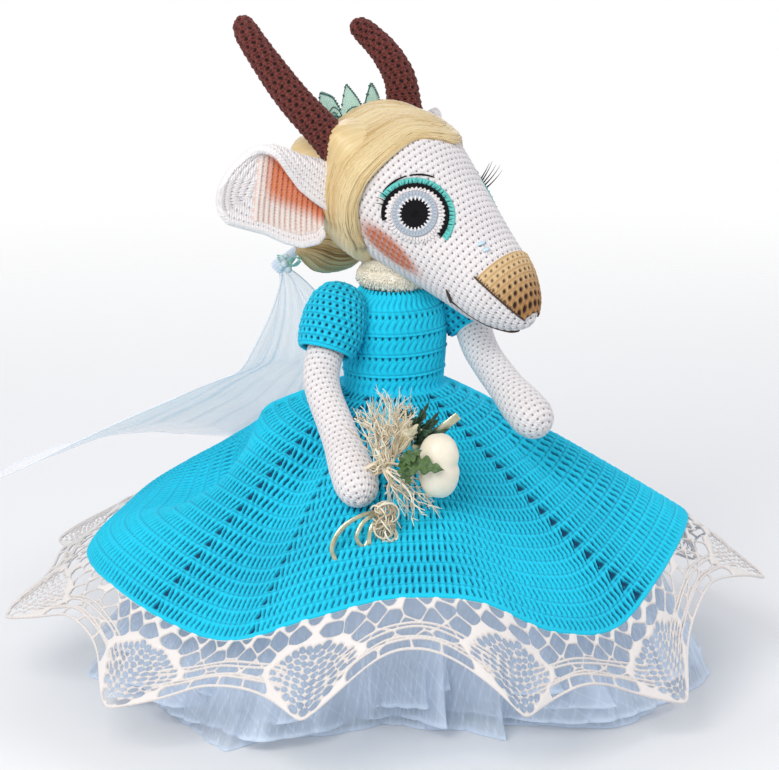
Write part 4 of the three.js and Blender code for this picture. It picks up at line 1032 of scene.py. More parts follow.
def petticoat_place(turn, t, drop, swell, pleat, phase):
    """A place on the petticoat, with ruffles and flaps that grow to the hem, and its folds and creases."""
    share = np.minimum(t / PETTICOAT_BREAK, 1)
    reach = (BREAK_RADIUS - SKIRT_INNER) / (HEM_RADIUS - SKIRT_INNER)
    radius, height = skirt_profile(turn, share * reach)
    radius = radius + 3 * (1 - share)
    height = height - PETTICOAT_GAP - BREAK_DROP * (0.15 + 0.85 * share)
    height = height + np.minimum(drapes(turn, share * reach), 0)
    down = np.clip((t - PETTICOAT_BREAK) / 0.3, 0, 1)
    hem = PETTICOAT_HEM * cyclic(PETTICOAT_SHARES, turn)
    angle = np.radians(turn)
    wander = angle * 13 + phase + 1.9 * np.sin(angle * 3 + phase)
    fold = 2 * np.abs(2 * ((wander / (2 * np.pi)) % 1) - 1) - 1
    fold = 0.8 * fold + 0.2 * np.cos(wander)
    crease = np.abs(np.sin(angle * 29 + 2 * phase + 2.2 * np.sin(angle * 4 - phase))) ** 0.5 - 0.6
    ruffle = (pleat * fold + 0.55 * pleat * crease) * down**1.3
    corner = (angle * (7 + round(phase)) / (2 * np.pi) + 0.16 * np.sin(angle * 5 + phase) + 0.1 * phase) % 1.0
    corner = np.where(corner < 1 - FLAP_RETURN, corner / (1 - FLAP_RETURN), (1 - corner) / FLAP_RETURN)
    ruffle = ruffle + FLAP_REACH * (corner - 0.4) * down**2
    hanging = t > PETTICOAT_BREAK
    outward = (hem - BREAK_RADIUS + swell) * np.sin(down * np.pi / 2)
    radius = np.where(hanging, BREAK_RADIUS + outward + ruffle, radius)
    height = np.where(hanging, height * (1 - down) + drop * (0.6 + 0.8 * corner) * down, height)
    ripple = 0.5 * np.sin(angle * 140 + 5 * np.sin(angle * 9) + 12 * t) * np.sin(t * 70 + 4 * fold)
    height = np.maximum(height + 0.4 * ripple, 0.3 + drop)
    return around(turn, radius + 0.8 * ripple * np.clip(t * 2, 0, 1), height), fold, crease


def add_petticoat():
    for number, (drop, swell, pleat, phase) in enumerate(PETTICOAT_LAYERS, 1):
        heap = Heap()
        nu, nv = 1440, 64
        start = 0.0 if number == 1 else 0.62
        turn, t = np.meshgrid(np.arange(nu) / nu * 360 - 180,
                              start + (1 - start) * np.linspace(0, 1, nv) ** 0.8,
                              indexing="ij")
        p, fold, crease = petticoat_place(turn, t, drop, swell, pleat, phase)
        edge = hump((1 - t) * 60, 0.5)
        line = hump((fold - 0.9) * 6, 1.0) * 0.5 + hump(crease + 0.6, 0.06) * 0.8
        wrinkle = 0.35 * hump(np.sin(np.radians(turn) * 97 + 30 * t + 3 * np.sin(np.radians(turn) * 13)), 0.2)
        wrinkle = wrinkle + 0.3 * hump(np.sin(np.radians(turn) * 41 - 60 * t + phase), 0.12)
        tone = np.clip(0.9 * edge + (line + wrinkle) * np.clip((t - PETTICOAT_BREAK) * 6, 0, 1), 0, 1)
        heap.add(p, grid_faces(nu, nv, True, False), tone=tone.ravel())
        rim = p[:, -1][np.r_[0:nu:4, 0]]
        points, quads = tubes(rim, TULLE_EDGE_RADIUS, 5)[:2]
        heap.add(points, quads, tone=1.0)
        layer = heap.piece(f"petticoat_tulle_{number}", petticoat_tulle)
        finish_piece(layer, "doll", "tulle", "petticoat")


add_petticoat()

# Veil

VEIL_RUN = [(0.46, 1.28), (0.5, 1.1), (0.55, 0.98), (0.72, 0.93), (1, 0.8), (1.32, 0.64), (1.48, 0.58)]
VEIL_TURNS = (-124.0, -215.0)
VEIL_TOP = np.array([-41.0, 53.0, 251.0])
VEIL_KNOT = VEIL_TOP + [-5.0, 6.6, -8.0]
VEIL_EDGE_RADIUS = 0.4


def veil_place(along, across):
    """A place on the veil, along from the gather to its end and across it, and how its gathers rise there."""
    spread = 0.5 + (across - 0.5) * (0.2 + 0.8 * np.minimum(along * 2, 1))
    turn = VEIL_TURNS[0] + (VEIL_TURNS[1] - VEIL_TURNS[0]) * spread
    run = np.array(VEIL_RUN)
    at = along * (len(run) - 1)
    knots = np.arange(len(run))
    fine = np.linspace(0, len(run) - 1, 301)
    bell = np.exp(-np.linspace(-2, 2, 41) ** 2)
    bell /= bell.sum()
    smooth = [np.convolve(np.pad(np.interp(fine, knots, run[:, k]), 20, "reflect", reflect_type="odd"),
                          bell, "valid")
              for k in (0, 1)]
    radius = HEM_RADIUS * np.interp(at, fine, smooth[0]) * (1 - 0.12 * across)
    height = WAIST_HEIGHT * np.interp(at, fine, smooth[1])
    share = np.clip((radius - SKIRT_INNER) / (HEM_RADIUS - SKIRT_INNER), 0, 1)
    ground = skirt_profile(turn, share)[1] + 1.6
    settle = np.clip((along - 0.3) / 0.25, 0, 1)
    low = height + (np.minimum(ground, height) - height) * settle
    gathers = np.sin(across * 25 + 2.5 * np.sin(across * 9)) + 0.5 * np.sin(across * 61 + along * 3)
    rise = 1.2 * (1 + gathers * 0.66) * np.minimum(along * 1.5, 1) * (1 - 0.6 * across)
    ruck = 2.2 * gathers * hump(along, 0.35)
    p = around(turn, radius + ruck, low + (height - low) * (1 - across) + rise + 1.0)
    # the top runs together in the gather at the nape
    free = np.clip(along / 0.34, 0, 1)[..., None] ** 0.75
    free = free * free * (3 - 2 * free) * 0.5 + 0.5 * free
    knot = VEIL_KNOT + np.stack([2.5 * np.cos(across * 12), 2.5 * np.sin(across * 12), 0 * across], -1)
    return knot * (1 - free) + p * free + np.array([0, 0, -6.0]) * (free * (1 - free)), gathers


def add_veil():
    heap = Heap()
    nu, nv = 300, 260
    across, along = np.meshgrid(np.linspace(0, 1, nu), np.linspace(0, 1, nv), indexing="ij")
    p, gathers = veil_place(along, across)
    crush = 0.6 * np.sin(across * 60 + 7 * along + 3 * np.sin(along * 13)) * np.sin(along * 21 + 3 * gathers)
    p = p + np.stack([0 * crush, 0 * crush, 0.35 * crush + 0.35], -1)
    border = hump(np.minimum(across, 1 - across) * 90, 0.8) + hump((1 - along) * 90, 0.8)
    line = (0.55 * hump((gathers - 1.2) * 2, 0.5) + 0.25 * hump(np.sin(across * 45 + along * 6), 0.2)
            - 0.1 * gathers)
    heap.add(p, grid_faces(nu, nv, False, False), tone=np.clip(border + line, 0, 1).ravel())
    for edge, count in ((p[0, ::8], 90), (p[-1, ::8], 90), (p[::8, -1], 120)):
        heap.tube(smooth_path(edge, count), VEIL_EDGE_RADIUS, 5, tone=1.0)
    veil = heap.piece("veil_tulle_drape", veil_tulle)
    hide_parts("veil_drape")
    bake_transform(veil)


add_veil()

# Head

HEAD_CENTRE = np.array([3.0, -1.0, 297.0])
HEAD_YAW = math.radians(22.5)
HEAD_PITCH = math.radians(36.0)
SKULL = 43.5
MUZZLE = 117.0
HEAD_SHARES = [(-0.39, 0.0), (-0.385, 0.08), (-0.36, 0.36), (-0.31, 0.6), (-0.24, 0.8), (-0.15, 0.935),
               (-0.06, 0.995), (0.02, 1), (0.15, 0.935), (0.3, 0.83), (0.45, 0.73), (0.6, 0.635),
               (0.73, 0.56), (0.83, 0.47), (0.92, 0.33), (0.97, 0.2), (1, 0.08), (1.004, 0.0)]
EYE_FORWARD = 33.8
EYE_TURN = 64.0
FAR_EYE_SHIFT = 15.0
EYE_RADIUS = 17.4
IRIS_RADIUS = 12.2
PUPIL_RADIUS = 8.2
BLUSH_FORWARD, BLUSH_TURN, BLUSH_REACH, BLUSH_LEAN = 33.0, 110.0, (18.5, 7.6), 0.2
HEAD_ROUND = 3.75

cy, sy, cp, sp = math.cos(HEAD_YAW), math.sin(HEAD_YAW), math.cos(HEAD_PITCH), math.sin(HEAD_PITCH)
HEAD_TURN = (np.array([[cy, -sy, 0], [sy, cy, 0], [0, 0, 1]])
             @ np.array([[1, 0, 0], [0, cp, -sp], [0, sp, cp]]))

head_profile = smooth_path(np.array(HEAD_SHARES) * [MUZZLE, SKULL], 700)


def from_head(points):
    """Head places: x to the doll's left, y backwards, z up, as places of the whole doll."""
    return np.asarray(points, float) @ HEAD_TURN.T + HEAD_CENTRE


def head_radius(forward):
    return np.interp(forward, head_profile[:, 0], head_profile[:, 1])


def head_place(forward, turn, height=0.0):
    """A place over the head's surface, with the height along its normal."""
    forward, turn = np.broadcast_arrays(np.asarray(forward, float), np.asarray(turn, float))
    angle = np.radians(turn)
    slope = (head_radius(forward + 0.5) - head_radius(forward - 0.5))
    length = np.hypot(slope, 1.0)
    radius = head_radius(forward) + height / length
    along = forward - height * slope / length
    return np.stack([radius * np.sin(angle), -along, radius * np.cos(angle)], -1)


def disc_place(side, turn, radius, height=0.0):
    """A place on the head round one eye."""
    angle = np.radians(turn)
    flat = 0.14 * np.clip((radius - 12.0) / 4, 0, 1) * np.maximum(np.cos(angle - math.radians(228)), 0) ** 2
    radius = radius * (1 - flat)
    forward = EYE_FORWARD + radius * np.sin(angle)
    arc = np.degrees(radius * np.cos(angle) / head_radius(EYE_FORWARD))
    return head_place(forward, side * (EYE_TURN + arc + FAR_EYE_SHIFT * (side > 0)), height)


def stain_at(forward, turn, middle, reach, lean):
    """How strongly a soft oval spot on the head colours a place."""
    df, dt = forward - middle[0], (turn - middle[1]) * np.pi / 180 * 38
    c, s = math.cos(lean), math.sin(lean)
    x, y = c * df + s * dt, -s * df + c * dt
    return 1 / (1 + np.exp(6 * (np.hypot(x / reach[0], y / reach[1]) - 1)))


def add_head():
    heap = Heap()
    run = run_length(head_profile)
    nv = int(run[-1] / HEAD_ROUND * 8)
    at = np.linspace(0, run[-1], nv)
    forward = np.interp(at, run, head_profile[:, 0])
    radius = np.interp(at, run, head_profile[:, 1])
    rows = at / HEAD_ROUND
    nu = int(2 * np.pi * SKULL / STITCH) * 8
    share = np.arange(nu) / nu
    angle = 2 * np.pi * share
    p = np.stack([radius[None] * np.sin(angle)[:, None], -forward[None] + 0 * angle[:, None],
                  radius[None] * np.cos(angle)[:, None]], -1)
    across = share[:, None] * row_counts(radius, rows, STITCH)[None]
    turn = (np.degrees(angle)[:, None] + 180) % 360 - 180
    stain = 0.0
    for side in (-1, 1):
        middle = (BLUSH_FORWARD, side * BLUSH_TURN)
        stain = stain + stain_at(forward[None], turn, middle, BLUSH_REACH, side * BLUSH_LEAN)
    crochet_grid(heap, from_head(p), across, np.broadcast_to(rows, (nu, nv)), single_stitches, 0.62, True,
                 True, -1.0,
                 stain=np.clip(1.3 * stain, 0, 1))
    head = heap.piece("head_crochet", blush_yarn)
    finish_piece(head, "head", "white_yarn", "head")


add_head()


def disc_grid(side, inner, outer, height, heap, pattern_count, from_turn=0.0, to_turn=360.0, rings=1,
              teeth=0.0,
              tooth_count=0, thick=1.0, **values):
    """A crocheted ring or arc that lies on the head round one eye."""
    full = to_turn - from_turn >= 360
    nu = int((to_turn - from_turn) / 360 * pattern_count * 10)
    nv = max(int((outer - inner) / 0.35), 6)
    turn = from_turn + np.linspace(0, 1, nu, endpoint=not full)[:, None] * (to_turn - from_turn)
    v = np.linspace(0, 1, nv)[None]
    edge = outer + teeth * (0.5 + 0.5 * np.cos(np.radians(turn) * tooth_count)) if tooth_count else outer
    radius = inner + (edge - inner) * v
    a = turn / 360 * pattern_count
    b = v * rings
    up = b % 1.0
    ridge = np.sin(np.pi * np.clip(up, 0.02, 0.98)) ** 0.6
    gap = hump((a + 0.5 * np.floor(b)) % 1.0 - 0.5, 0.16) * hump(up - 0.4, 0.3)
    crown = (np.clip(np.minimum(v, 1 - v) * (outer - inner) / 0.9, 0, 1) if inner > 0
             else np.clip((1 - v) * outer / 0.9, 0, 1))
    lift = height + thick * (0.25 + 0.75 * np.sqrt(crown)) * (0.8 + 0.3 * ridge) - 0.45 * thick * gap
    p = from_head(disc_place(side, turn + 0 * v, radius, lift))
    skirt_edge = from_head(disc_place(side, turn[:, 0], (edge + 0 * turn)[:, 0], height - 0.6))
    full_p = np.concatenate([p, skirt_edge[:, None]], 1)
    if inner > 0:
        foot = from_head(disc_place(side, turn[:, 0], inner + 0 * turn[:, 0], height - 0.6))
        full_p = np.concatenate([foot[:, None], full_p], 1)
    mu, mv = full_p.shape[:2]
    pad = mv - nv
    # painted shade between the rings and in the gaps between stitches
    cavity = np.pad(np.clip(0.6 * (1 - ridge) + 0 * turn, 0, 1), ((0, 0), (pad - 1, 1)), mode="edge")
    hole = np.pad(np.clip(0.9 * gap - 0.2, 0, 1), ((0, 0), (pad - 1, 1)), mode="edge")
    stitch = np.stack([np.broadcast_to(a, (mu, mv)), np.broadcast_to(np.linspace(0, rings, mv), (mu, mv)),
                       np.zeros((mu, mv))], -1)
    heap.add(full_p, grid_faces(mu, mv, full, side < 0), cavity=cavity.ravel(), hole=hole.ravel(),
             stitch=stitch.reshape(-1, 3))


PLAIN_YARN = {"cavity": 0.0, "hole": 0.0, "stitch": np.zeros((1, 3))}


def add_eye(side, label):
    white, iris, pupil, lash, lid = Heap(), Heap(), Heap(), Heap(), Heap()
    pupil_reach = PUPIL_RADIUS + 0.5
    disc_grid(side, 0.0, EYE_RADIUS - 1.1, 0.5, white, 52, rings=4, teeth=1.5, tooth_count=40, thick=1.2)
    disc_grid(side, pupil_reach - 1.2, IRIS_RADIUS + 0.7, 1.7, iris, 40, rings=2, thick=1.0)
    disc_grid(side, 0.0, pupil_reach, 2.1, pupil, 24, rings=2, thick=0.9)
    disc_grid(side, EYE_RADIUS - 0.9, EYE_RADIUS * 1.13, 0.2, lash, 60, 93, 322, rings=1, thick=1.6)
    disc_grid(side, EYE_RADIUS * 1.11, EYE_RADIUS * 1.34, 0.2, lid, 64, 95, 286, rings=1, thick=1.3)
    teeth = np.linspace(0, 360, 24, endpoint=False)
    starts = from_head(disc_place(side, teeth, pupil_reach + 1.0 + 0 * teeth, 2.5))
    ends = from_head(disc_place(side, teeth, pupil_reach - 1.3 + 0 * teeth, 3.1))
    white.tube(np.stack([starts, (starts + ends) / 2, ends], 1), [[0.6, 0.6, 0.4]], 8, **PLAIN_YARN)
    spots = np.linspace(0, 360, 46, endpoint=False)
    low = from_head(disc_place(side, spots, IRIS_RADIUS + 1.0 + 0 * spots, 2.0))
    high = from_head(disc_place(side, spots, IRIS_RADIUS + 3.0 + 0 * spots, 2.0))
    white.tube(np.stack([low, (low + high) / 2, high], 1), [[0.35, 0.6, 0.5]], 6, **PLAIN_YARN)
    for heap, name, material, slot, node in (
        (white, "eye_white", white_yarn, "white_yarn", "eye_white"),
        (iris, "iris", iris_yarn, "iris_yarn", "iris"),
        (pupil, "pupil", black_yarn, "black_yarn", "pupil"),
        (lash, "upper_lash_line", black_yarn, "black_yarn", "upper_lash_line"),
        (lid, "eyelid", lid_yarn, "lid_yarn", "eyelid"),
    ):
        made = heap.piece(f"{name}_{label}_crochet", material)
        finish_piece(made, "head", slot, f"{node}_{label}")
    strokes = Heap()
    s = np.linspace(0, 1, 9)
    # upper lashes stand off the lid, and a few longer ones sweep back from its corner
    for k, turn in enumerate(np.linspace(112, 272, 21)):
        reach = 3.2 + 0.6 * math.sin(2.3 * k)
        rise = 1.7 + 0.5 * s
        stroke = disc_place(side, turn + 3 * math.sin(k) * s, EYE_RADIUS * 1.1 + reach * s, rise)
        width = 0.24
        strokes.tube(from_head(stroke), width * (1 - 0.85 * s), 5, **PLAIN_YARN)
    if side > 0:
        for turn, reach, height in ((178, 6.5, 12.0), (184, 8.5, 12.5), (190, 7.5, 10.5), (196, 9.0, 9.5),
                                    (202, 7.0, 8.0)):
            stroke = disc_place(side, turn + 6 * s**2, EYE_RADIUS * 1.2 + reach * s, 1.7 + height * s**1.2)
            strokes.tube(from_head(stroke), 0.5 * (1 - 0.85 * s), 5, **PLAIN_YARN)
    for k, turn in enumerate(np.linspace(283, 297, 3)):
        reach = (7.0, 5.5, 4.5)[k]
        stroke = disc_place(side, turn - 7 * s + 5 * s**2, EYE_RADIUS * 1.08 + reach * s, 1.6 + 3.0 * s**1.3)
        strokes.tube(from_head(stroke), 0.45 * (1 - 0.85 * s), 5, **PLAIN_YARN)
    lashes = strokes.piece(f"lashes_{label}_thread", black_yarn)
    finish_piece(lashes, "head", "black_yarn", f"lashes_{label}")
    brow = Heap()
    for lo, hi, begin, end in ((202, 237, 1.50, 1.42), (241, 279, 1.42, 1.33)):
        at = np.linspace(lo, hi, 14)
        stroke = from_head(disc_place(side, at, EYE_RADIUS * np.linspace(begin, end, 14), 0.9))
        brow.tube(stroke, 0.55 * np.sin(np.pi * np.linspace(0.1, 0.92, 14)) ** 0.4, 6, **PLAIN_YARN)
    made = brow.piece(f"eyebrow_{label}_thread", black_yarn)
    finish_piece(made, "head", "black_yarn", f"eyebrow_{label}")


for side, label in SIDES:
    add_eye(side, label)


def add_cheer_marks():
    """Two short pale-blue stitches beside the bridge of the nose."""
    heap = Heap()
    for forward, turn, reach in ((70.5, 34.0, 5.5), (75.0, 34.5, 4.5)):
        s = np.linspace(-1, 1, 10)
        line = head_place(forward - 0.4 * s, -(turn + reach * s), 1.0 + 0.5 * (1 - s**2))
        heap.tube(from_head(line), 1.7 * np.sqrt(np.maximum(1 - s**2, 0.05)), 8, flat=0.5, **PLAIN_YARN)
    made = heap.piece("bridge_stitches", pale_yarn)
    finish_piece(made, "head", "lid_yarn")


pale_yarn = yarn("pale_blue_yarn", linear("cfe6f4"), linear("a8cfe6"), linear("7ea8c0"))
add_cheer_marks()

# Nose, mouth, ears, horns

def add_nose():
    heap = Heap()
    nu, nv = 260, 130
    u = np.linspace(0, 1, nu)[:, None]
    v = np.linspace(0, 1, nv)[None]
    forward = MUZZLE * (0.712 + v * 0.272 + 0 * u)
    turn = -68 + 136 * u + 0 * v
    radius = head_radius(forward)
    across = np.radians(turn) * radius / 4.0
    rows = (forward - 80) / 4.2
    row = np.floor(rows)
    up = rows - row
    over = (across + 0.5 * row) % 1.0 - 0.5
    ahead = np.clip((forward / MUZZLE - 0.76) / 0.18, 0, 1)
    gap = hump(over, 0.25 + 0.16 * ahead) * hump(up - 0.5, 0.21 + 0.16 * ahead) * (0.75 + 0.5 * ahead)
    swell = 1 - hump(np.abs(up - 0.5) - 0.5, 0.14)
    border = np.clip(np.minimum(np.minimum(u, 1 - u) * 26, np.minimum(v * 1.0, 1.2) * 26), 0, 1)
    lift = 0.5 + border**0.5 * (1.1 + 0.5 * swell - 1.35 * gap)
    p = from_head(head_place(forward, turn, lift))
    # painted shade between the rows and in the holes of the net
    heap.add(p, grid_faces(nu, nv, False, True), cavity=(0.5 * (1 - swell)).ravel(),
             stain=(0.85 * ahead).ravel(),
             hole=np.clip(1.4 * gap * border - 0.2, 0, 1).ravel(),
             stitch=stitch_places(across, rows))
    nose = heap.piece("nose_patch_crochet", tan_yarn)
    finish_piece(nose, "head", "tan_yarn", "nose_patch")
    seam = Heap()
    for turn_edge in (-68, 68):
        s = np.linspace(0.70, 0.985, 40)
        line = from_head(head_place(s * MUZZLE, np.full(40, turn_edge), 0.9))
        seam.tube(line, 0.6, 6, tone=0.35)
    stitches = []
    for turn_edge in (-68, 68):
        for s in np.linspace(0.71, 0.97, 22):
            span = turn_edge + np.sign(turn_edge) * np.array([-4.5, -1.5, 2.0])
            stitches.append(from_head(head_place(np.full(3, s * MUZZLE), span, np.array([1.6, 1.7, 0.5]))))
    seam.tube(np.array(stitches), [[0.2, 0.24, 0.15]], 5, tone=0.6)
    mouth = Heap()
    shares_s = np.array([0.66, 0.76, 0.86, 0.94, 0.967, 0.94, 0.86, 0.76, 0.66])
    turns = np.array([-122, -128, -138, -160, -180, -200, -222, -232, -238.0])
    path = smooth_path(from_head(head_place(shares_s * MUZZLE, turns, 0.8)), 90)
    ends = np.linspace(-1, 1, 90)
    mouth.tube(path, 0.26 + 0.5 * hump(ends, 0.25) + 0.4 * hump(np.abs(ends) - 1, 0.1), 7, tone=0.3)
    for side in (-1, 1):
        s = np.linspace(-1, 1, 12)
        tick = from_head(head_place(MUZZLE * 0.655 + 2.6 * s - 1.2 * s**2, side * (117 + 9 * s), 0.9))
        mouth.tube(tick, 1.05 * np.sqrt(np.maximum(1 - s**2, 0.04)), 8, tone=0.05)
    seam_piece = seam.piece("nose_seam", dark_thread)
    finish_piece(seam_piece, "head", "brown_thread")
    mouth_piece = mouth.piece("mouth_stitching", dark_thread)
    finish_piece(mouth_piece, "head", "brown_thread", "mouth_thread")


add_nose()

EAR_SPREAD, EAR_SETBACK, EAR_DROP, EAR_LENGTH, HAIR = 41.0, 16.5, 16.6, 69.0, 9.0
EAR_LOWER = [(0, 23), (0.06, 28), (0.2, 30), (0.36, 27), (0.53, 22), (0.73, 19), (0.88, 16.5), (0.96, 11),
             (1, 3)]
EAR_UPPER = [(0, 50), (0.14, 48), (0.28, 45), (0.42, 42), (0.54, 39), (0.67, 33), (0.79, 25), (0.9, 17),
             (0.96, 10), (1, 3)]
EAR_FOLD_AT = [(0, 15.5), (0.28, 19), (0.42, 22), (0.54, 23.5), (0.67, 21), (0.79, 17), (0.9, 11), (1, 2)]
EAR_FOLDS = [(0, 178), (0.28, 180), (0.42, 172), (0.54, 145), (0.67, 90), (0.79, 48), (0.9, 25), (1, 10)]
EAR_CUPS = [(0, 62), (0.3, 38), (0.6, 22), (1, 12)]


def ear_surface(side, u, v, lift=0.0):
    """The middle of the ear's shell: a leaf whose upper edge folds forward over its hollow."""
    lengthways = unit([side * 0.86, 0.42, -0.16])
    forwards = unit([side * 0.43, -0.72, 0.5])
    upwards = unit(np.cross(lengthways, forwards)) * -side
    fine = np.linspace(-1, 1, 401)
    upper, lower = shares(EAR_UPPER, u)[:, None], shares(EAR_LOWER, u)[:, None]
    reach = np.where(fine > 0, upper, lower)
    bend = np.clip((fine * upper - shares(EAR_FOLD_AT, u)[:, None]) / 13.0, 0, 1)
    fold = np.radians(shares(EAR_FOLDS, u))[:, None]
    cup = np.radians(shares(EAR_CUPS, u))[:, None]
    turn = fold * (3 * bend**2 - 2 * bend**3) - cup * np.clip(-fine, 0, 1) ** 1.4
    step = fine[1] - fine[0]
    over = np.cumsum(np.cos(turn) * reach, axis=1) * step
    fore = np.cumsum(np.sin(turn) * reach, axis=1) * step
    over = over - over[:, 200:201]
    fore = fore - fore[:, 200:201]
    at = np.stack([np.interp(v, fine, row) for row in over])
    ahead = np.stack([np.interp(v, fine, row) for row in fore])
    base = np.array([side * (EAR_SPREAD + HAIR * 0.2), EAR_SETBACK, -EAR_DROP])
    bow = 5.0 * u[:, None] ** 2
    middle = (base + lengthways * (u * EAR_LENGTH)[:, None, None] + upwards * at[..., None]
              + forwards * (ahead + bow)[..., None])
    normal = grid_normals(middle)
    if (normal[len(u) // 2, len(v) // 3] @ forwards) < 0:
        normal = -normal
    return middle + normal * (lift if np.isscalar(lift) else lift[..., None])


def ear_blush(u, v):
    """The terracotta hollow, which fades out towards the ear's lower half and tip."""
    low = np.interp(u, [0, 0.13, 0.34, 0.55, 0.62], [-0.72, -0.45, -0.3, -0.12, 0.15])
    return np.clip((v - low) / 0.3, 0, 1) * np.clip((0.62 - u) / 0.12, 0, 1)


def add_ear(side, label):
    heap = Heap()
    nu, nv = 260, 300
    u = 1 - (1 - np.linspace(0, 1, nu)) ** 1.35
    v = np.sin(np.linspace(-1, 1, nv) * np.pi / 2)
    rim_u = (1 - u[:, None]) * EAR_LENGTH
    reach = np.where(v[None] > 0, shares(EAR_UPPER, u)[:, None], shares(EAR_LOWER, u)[:, None])
    rim_v = (1 - np.abs(v[None])) * reach
    rim = np.maximum(1 / (1 / (rim_u + 0.4) ** 2 + 1 / (rim_v + 0.4) ** 2) ** 0.5 - 0.4, 0)
    rows = rim / 3.5
    across = np.where(rim_u < rim_v, v[None] * 9, u[:, None] * EAR_LENGTH / 3.2 + 0 * rim_v)
    relief, cavity, hole = single_stitches(across, rows)
    inner_rows = np.clip(rim / 3.5 - 0.4, 0, 1)
    # the painted shade between the stitches and in the holes fades out towards the rim
    cavity, hole = cavity * inner_rows, hole * inner_rows
    stitch = stitch_places(across, rows)
    swell = np.clip(rim / 2.6, 0, 1)
    half = 2.1 * np.sqrt(swell * (2 - swell)) * (1 + 0.1 * np.sin(across * 2 * np.pi) * (1 - swell))
    raised = relief * np.clip(rim / 2.5, 0, 1)
    inside = from_head(ear_surface(side, u, v, half + 0.8 * raised))
    outside = from_head(ear_surface(side, u, v, -half - 0.8 * raised))
    stain = ear_blush(u[:, None], v[None])
    faces = grid_faces(nu, nv)
    facing = (np.cross(inside[1, 0] - inside[0, 0], inside[0, 1] - inside[0, 0])
              @ (inside[0, 0] - outside[0, 0]) > 0)
    heap.add(inside, faces if facing else faces[:, ::-1], cavity=cavity.ravel(), hole=0.45 * hole.ravel(),
             stitch=stitch,
             stain=stain.ravel())
    heap.add(outside, faces[:, ::-1] if facing else faces, cavity=cavity.ravel(), hole=0.5 * hole.ravel(),
             stitch=stitch,
             stain=0.0)
    ear = heap.piece(f"ear_{label}_crochet", ear_yarn)
    finish_piece(ear, "head", "white_yarn", f"ear_{label}")
    hollow = Heap()
    nu, nv = 130, 120
    u, v = np.linspace(0.0, 0.68, nu), np.linspace(-0.75, 0.8, nv)
    rows = u[:, None] * EAR_LENGTH / 3.5 + 0 * v[None]
    across = v[None] * 46 / 3.6 + 0 * rows
    relief, cavity, hole = single_stitches(across, rows)
    fade = np.clip(np.minimum((0.68 - u)[:, None] / 0.05, np.minimum(v + 0.75, 0.8 - v)[None] / 0.1), 0, 1)
    inside = from_head(ear_surface(side, u, v, 1.9 + fade**0.5 * (1.0 + 0.9 * relief)))
    faces = grid_faces(nu, nv)
    colour = np.clip(ear_blush(u[:, None], v[None]) * (0.75 + 0.4 * hump(relief, 0.6)), 0, 1)
    hollow.add(inside, faces if facing else faces[:, ::-1], cavity=cavity.ravel(), hole=0.4 * hole.ravel(),
               stitch=stitch_places(across, rows), stain=colour.ravel())
    made = hollow.piece(f"ear_lining_{label}_crochet", lining_yarn)
    finish_piece(made, "head", "terracotta_yarn", f"ear_lining_{label}")


# the ear's second and third colours are painted shade between its stitches and in its holes
ear_yarn = yarn("ear_yarn", WHITE, linear("dcd3d6"), linear("9a8f95"), stain=linear("dd6c33"))
for side, label in SIDES:
    add_ear(side, label)

HORN_SPREAD, HORN_SETBACK, HORN_REACH, HORN_RISE, HORN_LIFT = 42.0, 41.0, 68.0, 13.0, 22.0
HORN_RADIUS = 9.6
HORN_STITCH = (4.3, 4.2)
HORN_SHARES = [(0, 1), (0.2, 1), (0.6, 0.84), (0.9, 0.66), (0.96, 0.52), (0.985, 0.34), (1, 0.0)]
RIGHT_HORN = [(0.8, -0.3, -0.3), (1, -0.07, 0.09), (1.23, 0.28, 0.41), (1.34, 0.61, 0.69), (1.35, 0.94, 0.9),
              (1.24, 1.15, 0.97)]
LEFT_HORN = [(0.8, -0.2, -0.3), (0.98, 0.07, 0.13), (1.04, 0.28, 0.58), (1.03, 0.52, 0.82),
             (1.01, 0.76, 0.86), (0.92, 0.93, 0.89)]


def horn_path(side):
    knots = np.array(RIGHT_HORN if side < 0 else LEFT_HORN)
    return np.stack([side * HORN_SPREAD * knots[:, 0], HORN_SETBACK + HORN_REACH * knots[:, 1],
                     HORN_RISE + HORN_LIFT * knots[:, 2]], 1)


def horn_stitches(a, b):
    """Coarse twisted yarn in rounds, with deep gaps in a brick pattern, painted in shade between the yarns
    and deeper in the gaps.
    """
    row = np.floor(b)
    up = b - row
    a = a + 0.12 * np.sin(b * 2.3 + a * 0.7)
    over = (a + 0.5 * row) % 1.0 - 0.5
    arch = 0.16 + 0.5 * np.abs(over) + 0.07 * np.sin(a * 5 + b)
    strand = hump(up - arch, 0.11) + 0.8 * hump(up - 0.86 - 0.1 * np.sin(2 * np.pi * a), 0.1)
    leg = hump(over - 0.46 + 0.3 * up, 0.1) + hump(over + 0.5 - 0.12 * up, 0.1)
    yarns = np.clip(strand + 0.9 * leg, 0, 1.1)
    hole = np.clip(1.15 * hump(over - 0.05, 0.27) * hump(up - 0.58, 0.24) - 0.5 * yarns, 0, 1)
    relief = 0.1 + 0.85 * yarns - 1.3 * hole + 0.5 * hump(up - 0.5, 0.3)
    return relief, np.clip(1.05 - 1.0 * yarns, 0, 1), np.clip(1.3 * hole - 0.1, 0, 1)


def add_horn(side, label):
    path = smooth_path(from_head(horn_path(side)), 240)
    at = np.linspace(0, 1, 240)
    radii = HORN_RADIUS * shares(HORN_SHARES, at) * np.clip((1 - at) * 50, 0, 1) ** 0.5
    horn = stuffed(f"horn_{label}_crochet", path, radii, brown_yarn, *HORN_STITCH, horn_stitches, 0.95)
    finish_piece(horn, "head", "brown_yarn", f"horn_{label}")


for side, label in SIDES:
    add_horn(side, label)

# Hair

rng = np.random.default_rng(11)


HAIR_EDGE_TURNS = np.array([-180, -140, -126, -108, -90, -72, -51, -33, -21, -6, 12, 33, 51, 72, 90, 108,
                            126, 140, 180.0])
HAIR_EDGE = np.array([18, 20, 18, 10.5, 4, 0.5, -0.5, -1, -1, 4, 10, 4, 0, 0.5, 4, 10.5, 18, 20, 18.0])


